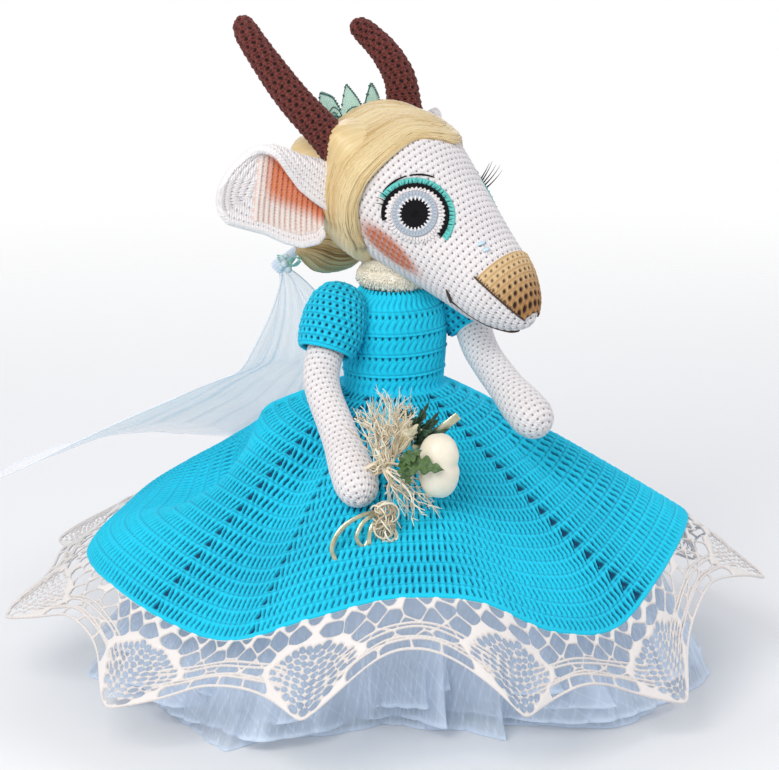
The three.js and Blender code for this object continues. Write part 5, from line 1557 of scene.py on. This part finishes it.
def hair_edge(turn):
    return np.interp((np.asarray(turn) + 180) % 360 - 180, HAIR_EDGE_TURNS, HAIR_EDGE)


def hair_swell(forward, turn):
    """Extra height of the hair: tufts over the horns' roots, and a lump behind each horn."""
    turn = (np.asarray(turn) + 180) % 360 - 180
    near = 0.35 + 0.65 / (1 + np.exp(turn / 10))
    turn = np.abs(turn)
    arc = np.pi / 180 * np.maximum(head_radius(forward), 24)
    tuft = 11.5 * np.exp(-((forward + 24) / 9) ** 2 - ((turn - 64) * arc / 11) ** 2)
    lump = 16.0 * np.exp(-((forward + 37) / 8) ** 2 - ((turn - 108) * arc / 9) ** 2)
    thin = (5.6 * np.exp(-(turn / 56) ** 4) * np.clip((16 - forward) / 14, 0.6, 1)
            * np.clip((forward + 38) / 14, 0.1, 1))
    return (tuft + lump) * near - thin


HAIR_BACK, CAP_BACK = -45.2, -44.5
HAIR_THICKNESS = 6.6
STRAND_RADIUS = 0.46
STRANDS_A_SIDE = 1700
NAPE_STRANDS = 700


def cap_place(forward, turn, height):
    return head_place(np.maximum(forward, CAP_BACK), turn, height)


def add_hair():
    # a combed base under the loose strands
    heap = Heap()
    nu, nv = 720, 150
    turn = (np.arange(nu) / nu * 360 - 180)[:, None]
    v = np.linspace(0, 1, nv)[None]
    edge = hair_edge(turn)
    forward = edge + (HAIR_BACK - edge) * v
    rise = np.clip(v * 9, 0, 1) ** 0.5
    groove = (np.sin(forward * 1.9 + 2.0 * np.sin(np.radians(turn) * 2)) * 0.5
              + np.sin(forward * 4.3 + turn * 0.03) * 0.35)
    thick = (HAIR_THICKNESS + hair_swell(forward, turn + 0 * v)) * rise + 0.3 * groove * rise
    p = cap_place(forward, turn + 0 * v, thick)
    # the tone darkens in the combed grooves, painted shade, with a slow streak across
    tone = np.clip(0.62 + 0.15 * groove + 0.1 * np.sin(turn * 0.11 + forward * 0.3), 0, 1)
    # the surface closes at the skull's back
    inward = np.array([0.12, 0.3, 0.5, 0.7, 0.87, 0.96, 0.995])
    middle = p[:, -1].mean(axis=0)
    backward = unit(middle - p[:, -12].mean(axis=0))
    bulge = backward * (0.9 * np.sin(inward * np.pi / 2))[None, :, None]
    closing = p[:, -1:] + (middle - p[:, -1:]) * inward[None, :, None] + bulge
    p = np.concatenate([p, closing], axis=1)
    tone = np.concatenate([tone, np.repeat(tone[:, -1:], len(inward), axis=1)], axis=1)
    heap.add(from_head(p), grid_faces(nu, nv + len(inward), True, False), tone=tone.ravel())
    # strands down both sides, level with the hair's front edge
    paths, tones = [], []
    for side in (-1, 1):
        count = STRANDS_A_SIDE
        back = rng.uniform(-1.5, 44, count)
        begin = rng.uniform(-16, 10, count)
        reach = rng.uniform(96, 132, count)
        w = np.linspace(0, 1, 18)[None]
        angle = begin[:, None] + (reach - begin)[:, None] * w
        clump = np.round(back / 4.5) * 4.5
        pulled = back + (clump - back) * 0.45
        wav = 1.1 * np.sin(w * 5 + rng.uniform(0, 6.28, count)[:, None])
        f = hair_edge(side * angle) - pulled[:, None] + wav
        f = np.maximum(f, -44.0)
        lift = (6.9 + hair_swell(f, angle)) * np.clip((pulled[:, None] + 3.0) / 5, 0.35, 1)
        lift = lift + rng.uniform(-0.7, 1.0, count)[:, None] - 2.6 * hump(w - 1, 0.1) - 2.0 * hump(w, 0.07)
        paths.append(from_head(cap_place(f, side * angle, lift)))
        tones.append(np.clip(0.62 + 0.24 * np.sin(clump * 1.7) + rng.uniform(-0.25, 0.3, count), 0, 1))
    thick = STRAND_RADIUS * np.clip(np.sin(np.pi * np.linspace(0.04, 0.97, 18)) * 3, 0.2, 1)
    heap.tube(np.concatenate(paths), thick, 4, tone=np.concatenate(tones))
    cap = heap.piece("hair_cap_strands", blonde_hair)
    finish_piece(cap, "head", "blonde_roving", "hair_cap")

    # the low bunch, drawn from under the head to the veil's gather
    nape = Heap()
    start = np.array([HEAD_CENTRE[0], SKULL * 0.9, HEAD_CENTRE[2] - SKULL * 0.72])
    end = np.array([VEIL_TOP[0] * 0.98, VEIL_TOP[1] - HAIR * 0.9, VEIL_TOP[2] + HAIR * 0.5])
    middle = (start + end) / 2 + [0, HAIR * 0.5, -HAIR * 0.95]
    centre = smooth_path([start + [14, -6, 8], start, middle, end], 24)
    _, first, second = (x[0] for x in frames_along(centre[None]))
    swell = np.interp(np.linspace(0, 1, 24), [0, 0.15, 0.3, 0.55, 0.8, 1],
                      [0.9, 1.15, 1.45, 1.7, 1.3, 0.4]) * HAIR
    count = NAPE_STRANDS
    ray = np.sqrt(rng.uniform(0.25, 1, count))
    angle = rng.uniform(0, 6.28, count)
    twist = (angle[:, None] + np.linspace(0, 0.9, 24)[None]
             + 0.15 * np.sin(np.linspace(0, 6, 24)[None] + ray[:, None] * 9))
    around_it = first[None] * np.cos(twist)[..., None] + second[None] * np.sin(twist)[..., None]
    strands = centre[None] + around_it * (ray[:, None] * swell[None])[..., None]
    nape.tube(strands, 0.55 * np.sin(np.pi * np.linspace(0.06, 0.95, 24)) ** 0.4, 4,
              tone=np.clip(0.5 + 0.3 * np.sin(angle * 7) + rng.uniform(-0.25, 0.25, count), 0, 1))
    # the core under the strands is darker: painted shade
    nape.tube(centre, swell * 0.86, 20, tone=0.35)
    bunch = nape.piece("hair_nape_strands", blonde_hair)
    finish_piece(bunch, "head", "blonde_roving", "hair_nape")


add_hair()


# Each roll's radius, height, thickness and number of hairs
RUFF_ROLLS = ((16.9, 244.5, 4.3, 6500), (12.5, 250.5, 5.6, 4200))


def add_ruff():
    """Two short-piled fleece rolls between the head and the bodice."""
    heap = Heap()
    turn = np.linspace(0, 2 * np.pi, 73)
    for radius, centre_z, thick, count in RUFF_ROLLS:
        ring = np.stack([radius * np.cos(turn), radius * np.sin(turn), 0 * turn + centre_z], 1)
        points, quads = tubes(ring, thick, 16)[:2]
        heap.add(points, quads, tone=0.8)
        a = rng.uniform(0, 2 * np.pi, count)
        b = rng.uniform(0, 2 * np.pi, count)
        reach = radius + 0.92 * thick * np.cos(b)
        root = np.stack([reach * np.cos(a), reach * np.sin(a), centre_z + 0.92 * thick * np.sin(b)], 1)
        out = np.stack([np.cos(b) * np.cos(a), np.cos(b) * np.sin(a), np.sin(b)], 1)
        side = np.stack([-np.sin(a), np.cos(a), 0 * a], 1) * rng.uniform(-0.9, 0.9, count)[:, None]
        down = np.array([0, 0, -1.0]) * rng.uniform(0.1, 0.9, count)[:, None]
        w = np.linspace(0, 1, 5)[None, :, None]
        pile = rng.uniform(1.1, 2.3, count)[:, None, None]
        strands = root[:, None] + out[:, None] * pile * w + (side + down)[:, None] * pile * w**2
        heap.tube(strands, [[0.55, 0.52, 0.46, 0.36, 0.15]], 4, tone=rng.uniform(0.55, 1, count))
    ruff = heap.piece("neck_ruff_fleece", cream_fluff)
    finish_piece(ruff, "head", "cream_fleece", "neck_ruff")


add_ruff()

# Crown, the veil's gather and its bow

CROWN_CENTRE = np.array([-7.0, 47.0, 0.0])
CROWN_RADIUS = 24.0
CROWN_LEAVES = 5
CROWN_START, CROWN_SWEEP = 22.5 - 88, 160.0
CROWN_BAND, CROWN_LEAF = 7.0, 17.0
LEAF_TIP = 0.2
CROWN_ENDS = (0.004, 0.996)


def hair_height(p):
    across = np.hypot(p[..., 0] - HEAD_CENTRE[0], p[..., 1] - HEAD_CENTRE[1])
    return HEAD_CENTRE[2] + np.sqrt(np.maximum((SKULL + HAIR * 1.3) ** 2 - across**2, 0))


def crown_place(share, up, lift=0.0):
    turn = CROWN_START + share * CROWN_SWEEP
    base = around(turn, CROWN_RADIUS + lift, 0 * turn) + CROWN_CENTRE
    low = np.clip(hair_height(base), HEAD_CENTRE[2] + SKULL * 0.5, HEAD_CENTRE[2] + SKULL * 0.86) - HAIR * 0.2
    out = around(turn, 1.0, 0 * turn)
    lean = 0.22 * np.maximum(up - 6, 0)
    return base + out * lean[..., None] + np.stack([0 * up, 0 * up, low + up - base[..., 2]], -1)


def crown_edge(share):
    """The crown's height: five pointed leaves that lean one way."""
    part = (share * CROWN_LEAVES) % 1.0
    leaf = np.where(part < LEAF_TIP, part / LEAF_TIP, (1 - part) / (1 - LEAF_TIP))
    size = np.interp(share, [0, 0.2, 0.55, 0.62, 1], [1.15, 1.0, 1.0, 0.5, 0.35])
    return (CROWN_BAND + CROWN_LEAF * leaf**0.85) * size


crown_lace = tulle("crown_lace", linear("c3ece1"), 0.55, 0.95)


def add_crown():
    heap = Heap()
    nu, nv = 900, 60
    share, v = np.meshgrid(np.linspace(0, 1, nu), np.linspace(0, 1, nv), indexing="ij")
    up = v * crown_edge(share)
    weave = share * CROWN_LEAVES * np.pi * 9
    lattice = np.maximum(hump(np.sin(weave + up * 0.9), 0.3), hump(np.sin(weave - up * 0.9), 0.3))
    relief = 0.3 * lattice
    for sign in (1, -1):
        half = 0.55 * np.sqrt(np.clip(np.minimum(1 - v, np.minimum(share, 1 - share) * 60) * 8, 0, 1))
        p = crown_place(share, up, sign * (half + relief * (half > 0.3)))
        heap.add(p, grid_faces(nu, nv, False, sign < 0), tone=(0.25 + 0.7 * lattice).ravel())
    crown = heap.piece("crown_leaves", crown_lace)
    finish_piece(crown, "head", "teal_lace", "crown")
    edging = Heap()
    beads = []
    for lift in (0.8, -0.8):
        for k in range(CROWN_LEAVES):
            s = np.linspace((k + 0.03) / CROWN_LEAVES, (k + 0.97) / CROWN_LEAVES, 60)
            edge = crown_edge(s)
            edging.tube(crown_place(s, edge - 0.7, lift * 0.4), 0.3, 6, tone=0.5)
            bow_out = np.linspace(-1, 1, 30)
            inner = np.clip((k + 0.6 + 0.44 * bow_out) / CROWN_LEAVES, *CROWN_ENDS)
            rise = np.minimum(1.5 + 8.0 * np.sqrt(np.maximum(1 - bow_out**2, 0)), crown_edge(inner) - 0.8)
            edging.tube(crown_place(inner, rise, lift), 0.3, 6, tone=0.3)
            small = np.clip((k + 0.6 + 0.27 * bow_out) / CROWN_LEAVES, *CROWN_ENDS)
            edging.tube(crown_place(small, (rise - 1.5) * 0.62 + 1.5, lift), 0.28, 6, tone=0.3)
            for spoke in np.linspace(-0.24, 0.24, 5):
                ray = np.clip((k + 0.6 + spoke * np.linspace(0.1, 1, 12)) / CROWN_LEAVES, *CROWN_ENDS)
                rise = np.linspace(2, min(crown_edge(ray[-1]) * 0.5, 6.0), 12)
                edging.tube(crown_place(ray, rise, lift), 0.2, 5, tone=0.6)
            spots = np.linspace((k + 0.04) / CROWN_LEAVES, (k + 0.96) / CROWN_LEAVES, 15)
            beads.append(crown_place(spots, crown_edge(spots) - 0.4, lift))
        s = np.linspace(*CROWN_ENDS, 200)
        edging.tube(crown_place(s, 1.4 + 0 * s, lift), 0.6, 6, tone=0.4)
        edging.tube(crown_place(s, 3.6 + 0 * s, lift), 0.45, 6, tone=0.6)
    dots = np.concatenate(beads)
    shift = np.array([0.0, 0.0, 0.45])
    edging.tube(np.stack([dots - shift, dots, dots + shift], 1), [[0.35, 0.75, 0.35]], 6, tone=0.1)
    made = edging.piece("crown_edging", teal_dark)
    finish_piece(made, "head", "teal_lace")


add_crown()


def add_gather():
    heap = Heap()
    top = VEIL_TOP + [2.7, -5.4, 4.5]
    low = VEIL_TOP + [-6.3, 8.1, -9.9]
    axis = unit(low - top)
    first = unit(np.cross(axis, [0, 0, 1.0]))
    second = np.cross(axis, first)
    nu, nv = 360, 70
    turn, v = np.meshgrid(np.arange(nu) / nu * 2 * np.pi, np.linspace(0, 1, nv), indexing="ij")
    radius = np.interp(v, [0, 0.05, 0.5, 0.9, 1], [0.0, 0.26, 0.36, 0.45, 0.42]) * HAIR
    pleats = 0.5 * np.sin(turn * 17 + 2 * np.sin(turn * 3)) + 0.3 * np.sin(turn * 41 + v * 4)
    radius = radius * (1 + 0.14 * pleats * (0.3 + v))
    centre = top + (low - top) * (v * 0.98)[..., None]
    p = centre + (first * np.cos(turn)[..., None] + second * np.sin(turn)[..., None]) * radius[..., None]
    tone = np.clip(0.55 + 0.4 * pleats, 0, 1)
    heap.add(p, grid_faces(nu, nv, True, False), tone=tone.ravel())
    inner = centre[::6] + (p - centre)[::6] * 0.6
    heap.add(inner, grid_faces(nu // 6, nv, True, True), tone=0.8)
    gather = heap.piece("veil_gather_tulle", gathered_tulle)
    finish_piece(gather, "head", "tulle", "veil_gather")

    bow = Heap()
    centre = VEIL_TOP + [-5.5, -7.5, -4.5]
    for side in (-1, 1):
        reach = np.array([side * 3.4, -side * 5.5, 3.4])
        for swing in (-1, 1):
            loop = [centre, centre + reach * 0.5 + [0, 0, 2.4 * swing],
                    centre + reach * 1.08 + [0, 0, 1.3 * swing],
                    centre + reach * 1.1]
            path = smooth_path(loop, 30)
            width = 2.6 * np.sin(np.pi * np.linspace(0.2, 0.95, 30)) ** 0.5
            bow.tube(path, width, 16, flat=0.16, across=[0.2, 0.1, 1.0], tone=0.5)
    bow.tube(np.stack([centre + [0, 0, -2.2], centre, centre + [0, 0, 2.4]]), [1.8, 2.2, 1.8], 14, tone=0.4)
    made = bow.piece("veil_bow_ribbon", teal_lace)
    finish_piece(made, "head", "teal_lace", "veil_bow")
    beads = Heap()
    ball = np.linspace(-1, 1, 11)
    for place_at, size in (([-3.4, -1.2, 1.0], 2.3), ([-2.2, -4.2, -2.2], 2.0), ([-3.6, 2.6, -2.0], 2.1),
                           ([-1.5, 0.5, 5.2], 1.6)):
        middle = centre + place_at
        path = middle + np.array([0, 0, 1.0]) * (ball * size * 0.999)[:, None]
        beads.tube(path, size * np.sqrt(np.maximum(1 - ball**2, 0.0004)), 16, tone=0.5)
    made = beads.piece("veil_bow_beads", bead)
    finish_piece(made, "head", "teal_lace")


gathered_tulle = tulle("gathered_tulle", linear("e6eefa"), 0.75, 0.98)
add_gather()

# Bouquet

BIND = np.array([-1.69, -2.63, 0.727]) * [SHOULDER_SPREAD, SHOULDER_SPREAD, SHOULDER_HEIGHT]
SPRAY = 36.0
BALL_REACH = [11.6, 11.6, 18.2]
STEM_RIBBON, CURL_RIBBON, TAIL_RIBBON = 4.8, 2.4, 2.0
FACING = unit([-0.48, -0.84, 0.26])
draws = np.random.default_rng(23)


def spray(x, y, z):
    return BIND + SPRAY * np.array([x, y, z])


def rooty(heap, start, end, radius, bend=3.0, steps=14, taper=0.35):
    """One dried root: a wavering, knotted strand."""
    w = np.linspace(0, 1, steps)
    a, b = np.asarray(start, float), np.asarray(end, float)
    path = a + (b - a) * w[:, None]
    reach = np.linalg.norm(b - a)
    sway = draws.normal(0, 1, (4, 3))
    for k in range(4):
        turned = (bend / (k + 1) * 0.4 * np.sin(np.pi * w * (k + 1)))[:, None]
        path = path + sway[k] * turned * min(reach / 30, 1)
    thick = radius * (1 + (taper - 1) * w) * (1 + 0.18 * np.sin(w * 17 + draws.uniform(0, 6)))
    heap.tube(path, thick, 7, tone=draws.uniform(0.2, 1))
    return path


def branching(heap, start, end, radius, forks, spread):
    """A root with side shoots that fork again."""
    path = rooty(heap, start, end, radius, 6.0)
    way = np.asarray(end) - np.asarray(start)
    length = np.linalg.norm(way)
    for _ in range(forks):
        at = path[draws.integers(4, 12)]
        off = draws.normal(0, 1, 3)
        off = unit(off - unit(way) * (off @ unit(way)) * 0.6)
        tip = at + unit(unit(way) * 0.9 + off * spread) * length * draws.uniform(0.22, 0.42)
        twig = rooty(heap, at, tip, radius * 0.62, 4.0, 9)
        for _ in range(2):
            bud = twig[draws.integers(4, 8)]
            rooty(heap, bud, bud + (tip - at) * 0.32 + draws.normal(0, 2.0, 3), radius * 0.42, 2.0, 6)


def petal(heap, base, tip, width, cup, facing, tone=0.6, thick=0.35, edge_wave=0.0, teeth=0.0, tooth_count=5):
    """A thin curved leaf or petal with a raised middle vein."""
    base, tip, facing = np.asarray(base, float), np.asarray(tip, float), np.asarray(facing, float)
    along = unit(tip - base)
    side = unit(np.cross(along, facing))
    up = np.cross(side, along)
    length = np.linalg.norm(tip - base)
    nu, nv = 48, 28
    u, v = np.meshgrid(np.linspace(0, 1, nu), np.linspace(-1, 1, nv), indexing="ij")
    notch = 1 - teeth * (0.5 + 0.5 * np.cos(u * 2 * np.pi * tooth_count)) ** 1.5
    half = width / 2 * np.sin(np.pi * np.clip(u, 0, 1) ** 0.8) ** 0.8 * notch + 0.03
    wave = edge_wave * np.sin(u * 14) * v**2
    middle = cup * np.sin(np.pi * u)
    sheet = (base + along * (u * length - teeth * 0.25 * width * np.abs(v))[..., None]
             + side * (v * half)[..., None])
    sheet = sheet + up * (middle + 0.28 * half * v**2 - 0.25 * np.exp(-(v / 0.12) ** 2) + wave)[..., None]
    vein = 0.12 * np.sin(u * 50 - np.abs(v) * 8)
    for sign in (1, -1):
        rim = np.sqrt(np.clip((1 - v**2) * 6, 0, 1)) * np.clip(np.minimum(u, 1 - u) * 20, 0, 1)
        p = sheet + up * (sign * thick * rim + vein * rim * (sign > 0))[..., None]
        heap.add(p, grid_faces(nu, nv, False, sign < 0), tone=np.clip(tone + 2 * vein, 0, 1).ravel())


IMAGE_RIGHT = np.array([math.cos(VIEW_TURN), math.sin(VIEW_TURN), 0.0])
UP = np.array([0, 0, 1.0])


def add_bouquet():
    roots = Heap()
    fist = smooth_path(arm_path(-1), 260)[int(260 * 0.86)]
    tips = [(-0.05, 0.42, 0.95), (0.12, 0.36, 1.02), (0.3, 0.3, 1), (0.48, 0.24, 0.97), (-0.18, 0.38, 0.86),
            (0.02, -0.1, 0.92), (0.25, -0.15, 1.0)]
    low_tips = [(0.6, -0.5, -0.35), (0.42, -0.62, -0.5), (0.2, -0.6, -0.62), (-0.02, -0.55, -0.72),
                (0.72, -0.5, -0.1)]
    for number, tip in enumerate(tips + low_tips):
        upper = number < len(tips)
        for _ in range(4 if upper else 3):
            aim = spray(*tip)
            end = aim + draws.normal(0, 3.0, 3) + (aim - BIND) * draws.uniform(-0.22, 0.06)
            start = BIND + draws.normal(0, 1.8, 3)
            branching(roots, start, end, draws.uniform(0.45, 0.8), 4, 0.75)
    for _ in range(26):
        start = BIND + draws.normal(0, 3.0, 3)
        off = draws.normal(0, 1, 3)
        end = start + unit(off + FACING * 0.8 + [0, 0, 0.4]) * draws.uniform(7, 15)
        rooty(roots, start, end, draws.uniform(0.35, 0.6), 6.0, 10)
    for _ in range(14):
        start = BIND + draws.normal(0, 2.0, 3)
        end = fist + draws.normal(0, 2.0, 3)
        rooty(roots, start, end, draws.uniform(0.7, 1.1), 3.0, 10, 0.9)
    # the dried curls that hang under the fist
    middle = np.array([-72.0, -113.0, 132.0])
    for k in range(30):
        turn = np.linspace(0, 2 * np.pi * draws.uniform(0.7, 1.5), 24) + draws.uniform(0, 6.28)
        tilt = unit(draws.normal(0, 1, 3) + FACING)
        first = unit(np.cross(tilt, UP))
        second = np.cross(tilt, first)
        size = draws.uniform(2.5, 6.0)
        hub = (middle + IMAGE_RIGHT * draws.uniform(-4, 5) + UP * draws.uniform(-9, 10)
               + FACING * draws.uniform(-2, 3))
        curl = hub + (first * np.cos(turn)[:, None] + second * np.sin(turn)[:, None]) * size
        curl = curl + tilt * (np.linspace(-2, 2, 24) * draws.uniform(-1, 1))[:, None]
        roots.tube(curl, draws.uniform(0.35, 0.6), 6, tone=draws.uniform(0.2, 1))
    made = roots.piece("bouquet_root_spray", root_bark)
    finish_piece(made, "right_arm", "dried_roots", "bouquet_twigs")

    ball = Heap()
    centre = spray(0.7, -0.57, 0.08) - IMAGE_RIGHT * 1.5
    nu, nv = 160, 100
    a, b = np.meshgrid(np.arange(nu) / nu * 2 * np.pi, np.linspace(0, np.pi, nv), indexing="ij")
    # two lobes that grow into one another, with a dent on the side that faces away from the roots
    crease = hump(b - 1.5, 0.16) * (0.1 + 0.9 * np.clip(np.cos(a - VIEW_TURN), 0, 1) ** 2)
    swell = 1 + 0.06 * np.sin(2 * b) ** 2 - 0.1 * crease + 0.008 * np.sin(3 * a + 2 * b)
    ball_shape = np.stack([np.sin(b) * np.cos(a), np.sin(b) * np.sin(a), np.cos(b)], -1) * BALL_REACH
    p = centre + [0, 0, -1.5] + swell[..., None] * ball_shape
    ball.add(p, grid_faces(nu, nv, True, True), tone=0.5)
    made = ball.piece("bouquet_ivory_ball", ivory)
    finish_piece(made, "right_arm", "ivory_ball", "bouquet_ball")

    flower = Heap()
    base, end = spray(0.18, -0.02, 0.14), spray(0.44, -0.08, 0.66)
    axis = unit(end - base)
    first = unit(np.cross(axis, FACING))
    second = np.cross(axis, first)
    for ring, (count, reach, open_out, wide) in enumerate(((6, 21, 8.5, 10), (5, 22, 5.5, 9),
                                                           (4, 22, 2.8, 7))):
        for k in range(count):
            angle = 2 * np.pi * (k + 0.5 * ring) / count
            out = first * math.cos(angle) + second * math.sin(angle)
            petal(flower, base + out * 1.5 + axis * ring * 1.5, base + axis * reach + out * open_out,
                  wide, 2.4 - 0.5 * ring,
                  -out, 0.6, 0.4, 0.5)
    made = flower.piece("bouquet_cream_flower", flower_cream)
    finish_piece(made, "right_arm", "cream_flower", "bouquet_flower")

    leaves = Heap()
    base = np.array([-46.0, -100.0, 172.0])
    for k in range(22):
        lean = -0.5 + 1.75 * (k % 11) / 10 + draws.uniform(-0.12, 0.12)
        reach = draws.uniform(15, 23) * (1.0 if k < 11 else 0.72)
        way = unit(IMAGE_RIGHT * math.sin(lean) + UP * math.cos(lean) + FACING * (0.1 + 0.4 * (k >= 11)))
        root = base + way * 3.0 + draws.normal(0, 1.2, 3)
        petal(leaves, root, root + way * reach, draws.uniform(4.5, 6.5), 1.2,
              FACING + draws.normal(0, 0.3, 3), 0.4, 0.3, 0.6,
              0.45, 4)
    made = leaves.piece("bouquet_dark_leaves", leaf_green)
    finish_piece(made, "right_arm", "green_leaves", "bouquet_leaves")
    front = Heap()
    hub = BIND + IMAGE_RIGHT * 10 + FACING * 15 + UP * 2
    for way, reach, width in ((IMAGE_RIGHT * 1.0 - UP * 0.18, 25, 13), (IMAGE_RIGHT * 0.75 + UP * 0.5, 15, 9),
                              (IMAGE_RIGHT * 0.3 - UP * 0.95, 14, 9)):
        petal(front, hub, hub + unit(way + FACING * 0.25) * reach, width, 1.6, FACING + UP * 0.3, 0.5, 0.35,
              0.8, 0.5, 4)
    made = front.piece("bouquet_light_leaf", leaf_light)
    finish_piece(made, "right_arm", "green_leaves", "bouquet_front_leaf")

    def ribbon(name, path, width, node):
        heap = Heap()
        heap.tube(path, width / 2, 14, flat=0.14, across=FACING, tone=0.5)
        made = heap.piece(name, satin)
        finish_piece(made, "right_arm", "satin_ribbon", node)
        return made

    stem = np.array([spray(0.5, -0.02, 0.2), spray(0.64, -0.06, 0.3), spray(0.9, -0.2, 0.5),
                     spray(1.14, -0.34, 0.72)])
    ribbon("bouquet_stem_wrap", smooth_path(stem, 40), STEM_RIBBON, "bouquet_stem_ribbon")
    loops = [
        [(-73, -108, 138), (-84, -108, 137), (-95, -106, 131), (-101, -106, 121), (-99, -108, 112)],
        [(-74, -109, 137), (-83, -110, 134), (-88, -111, 126), (-84, -112, 120), (-80, -112, 125)],
        [(-72, -110, 136), (-79, -112, 131), (-81, -113, 123), (-77, -114, 119), (-74, -114, 124)],
        [(-75, -107, 138), (-86, -107, 136), (-96, -105, 128), (-101, -105, 118)],
    ]
    curls = Heap()
    for knots in loops[:3]:
        curls.tube(smooth_path(knots, 60), CURL_RIBBON / 2, 12, flat=0.3, across=FACING, tone=0.5)
    made = curls.piece("bouquet_ribbon_curls", satin)
    finish_piece(made, "right_arm", "satin_ribbon", "bouquet_ribbon_loops")
    ribbon("bouquet_ribbon_end", smooth_path(loops[3], 50), TAIL_RIBBON, "bouquet_ribbon_tail")


add_bouquet()

# Lights, floor and background


LIT_PLACE = [0, -10, 170.0]


def add_light(name, direction, distance, size, power, colour):
    data = bpy.data.lights.new(name, "AREA")
    data.shape = "DISK"
    data.size = size
    data.energy = power
    data.color = colour
    light = bpy.data.objects.new(name, data)
    scene.collection.objects.link(light)
    target = np.asarray(place(LIT_PLACE))
    way = unit(direction)
    light.location = target + way * distance
    yaw = math.atan2(way[0], -way[1])
    light.rotation_euler = (math.pi / 2 - math.asin(way[2]), 0, yaw)


add_light("key_light", [-0.85, -0.6, 0.8], 1.5, 0.9, 15.0, (1.0, 0.985, 0.96))
add_light("fill_light", [0.95, -0.5, 0.45], 1.6, 1.2, 5.2, (0.95, 0.97, 1.0))
add_light("rim_light", [0.35, 0.9, 0.7], 1.6, 0.8, 5.5, (1.0, 1.0, 1.0))

world = bpy.data.worlds.new("studio")
scene.world = world
world.use_nodes = True
tree = world.node_tree
tree.nodes.clear()
seen = tree.nodes.new("ShaderNodeBackground")
seen.inputs["Color"].default_value = (1, 1, 1, 1)
lit = tree.nodes.new("ShaderNodeBackground")
lit.inputs["Color"].default_value = (0.9, 0.93, 1.0, 1)
lit.inputs["Strength"].default_value = 0.56
path_node = tree.nodes.new("ShaderNodeLightPath")
pick = tree.nodes.new("ShaderNodeMath")
pick.operation = "MAXIMUM"
pick_more = tree.nodes.new("ShaderNodeMath")
pick_more.operation = "MAXIMUM"
mixer = tree.nodes.new("ShaderNodeMixShader")
out_node = tree.nodes.new("ShaderNodeOutputWorld")
tree.links.new(path_node.outputs["Is Camera Ray"], pick.inputs[0])
tree.links.new(path_node.outputs["Is Glossy Ray"], pick.inputs[1])
tree.links.new(pick.outputs[0], pick_more.inputs[0])
tree.links.new(path_node.outputs["Is Transmission Ray"], pick_more.inputs[1])
tree.links.new(pick_more.outputs[0], mixer.inputs["Fac"])
tree.links.new(lit.outputs[0], mixer.inputs[1])
tree.links.new(seen.outputs[0], mixer.inputs[2])
tree.links.new(mixer.outputs[0], out_node.inputs["Surface"])

# The floor clears away from the doll, so that the white behind it shows
FLOOR_REACH = 1.6
FLOOR_SOLID, FLOOR_CLEAR = 0.45, 1.5
floor_paint = Paint("studio_floor")
floor_paint.set(Base_Color=(*linear("f1f0f0"), 1), Roughness=0.9)
far = floor_paint.node("ShaderNodeVectorMath", {0: floor_paint.position()},
                       operation="LENGTH").outputs["Value"]
fade = {"Value": far, "From Min": FLOOR_SOLID, "From Max": FLOOR_CLEAR, "To Min": 1.0, "To Max": 0.0}
fading = floor_paint.node("ShaderNodeMapRange", fade, interpolation_type="SMOOTHSTEP")
floor_paint.link(fading.outputs[0], "Alpha")
floor_mesh = bpy.data.meshes.new("studio_floor")
corners = [(x * FLOOR_REACH, y * FLOOR_REACH, 0) for x, y in ((-1, -1), (1, -1), (1, 1), (-1, 1))]
floor_mesh.from_pydata(corners, [], [(0, 1, 2, 3)])
floor = bpy.data.objects.new("studio_floor", floor_mesh)
scene.collection.objects.link(floor)
floor_mesh.materials.append(floor_paint.material)

scene.view_settings.view_transform = "Standard"
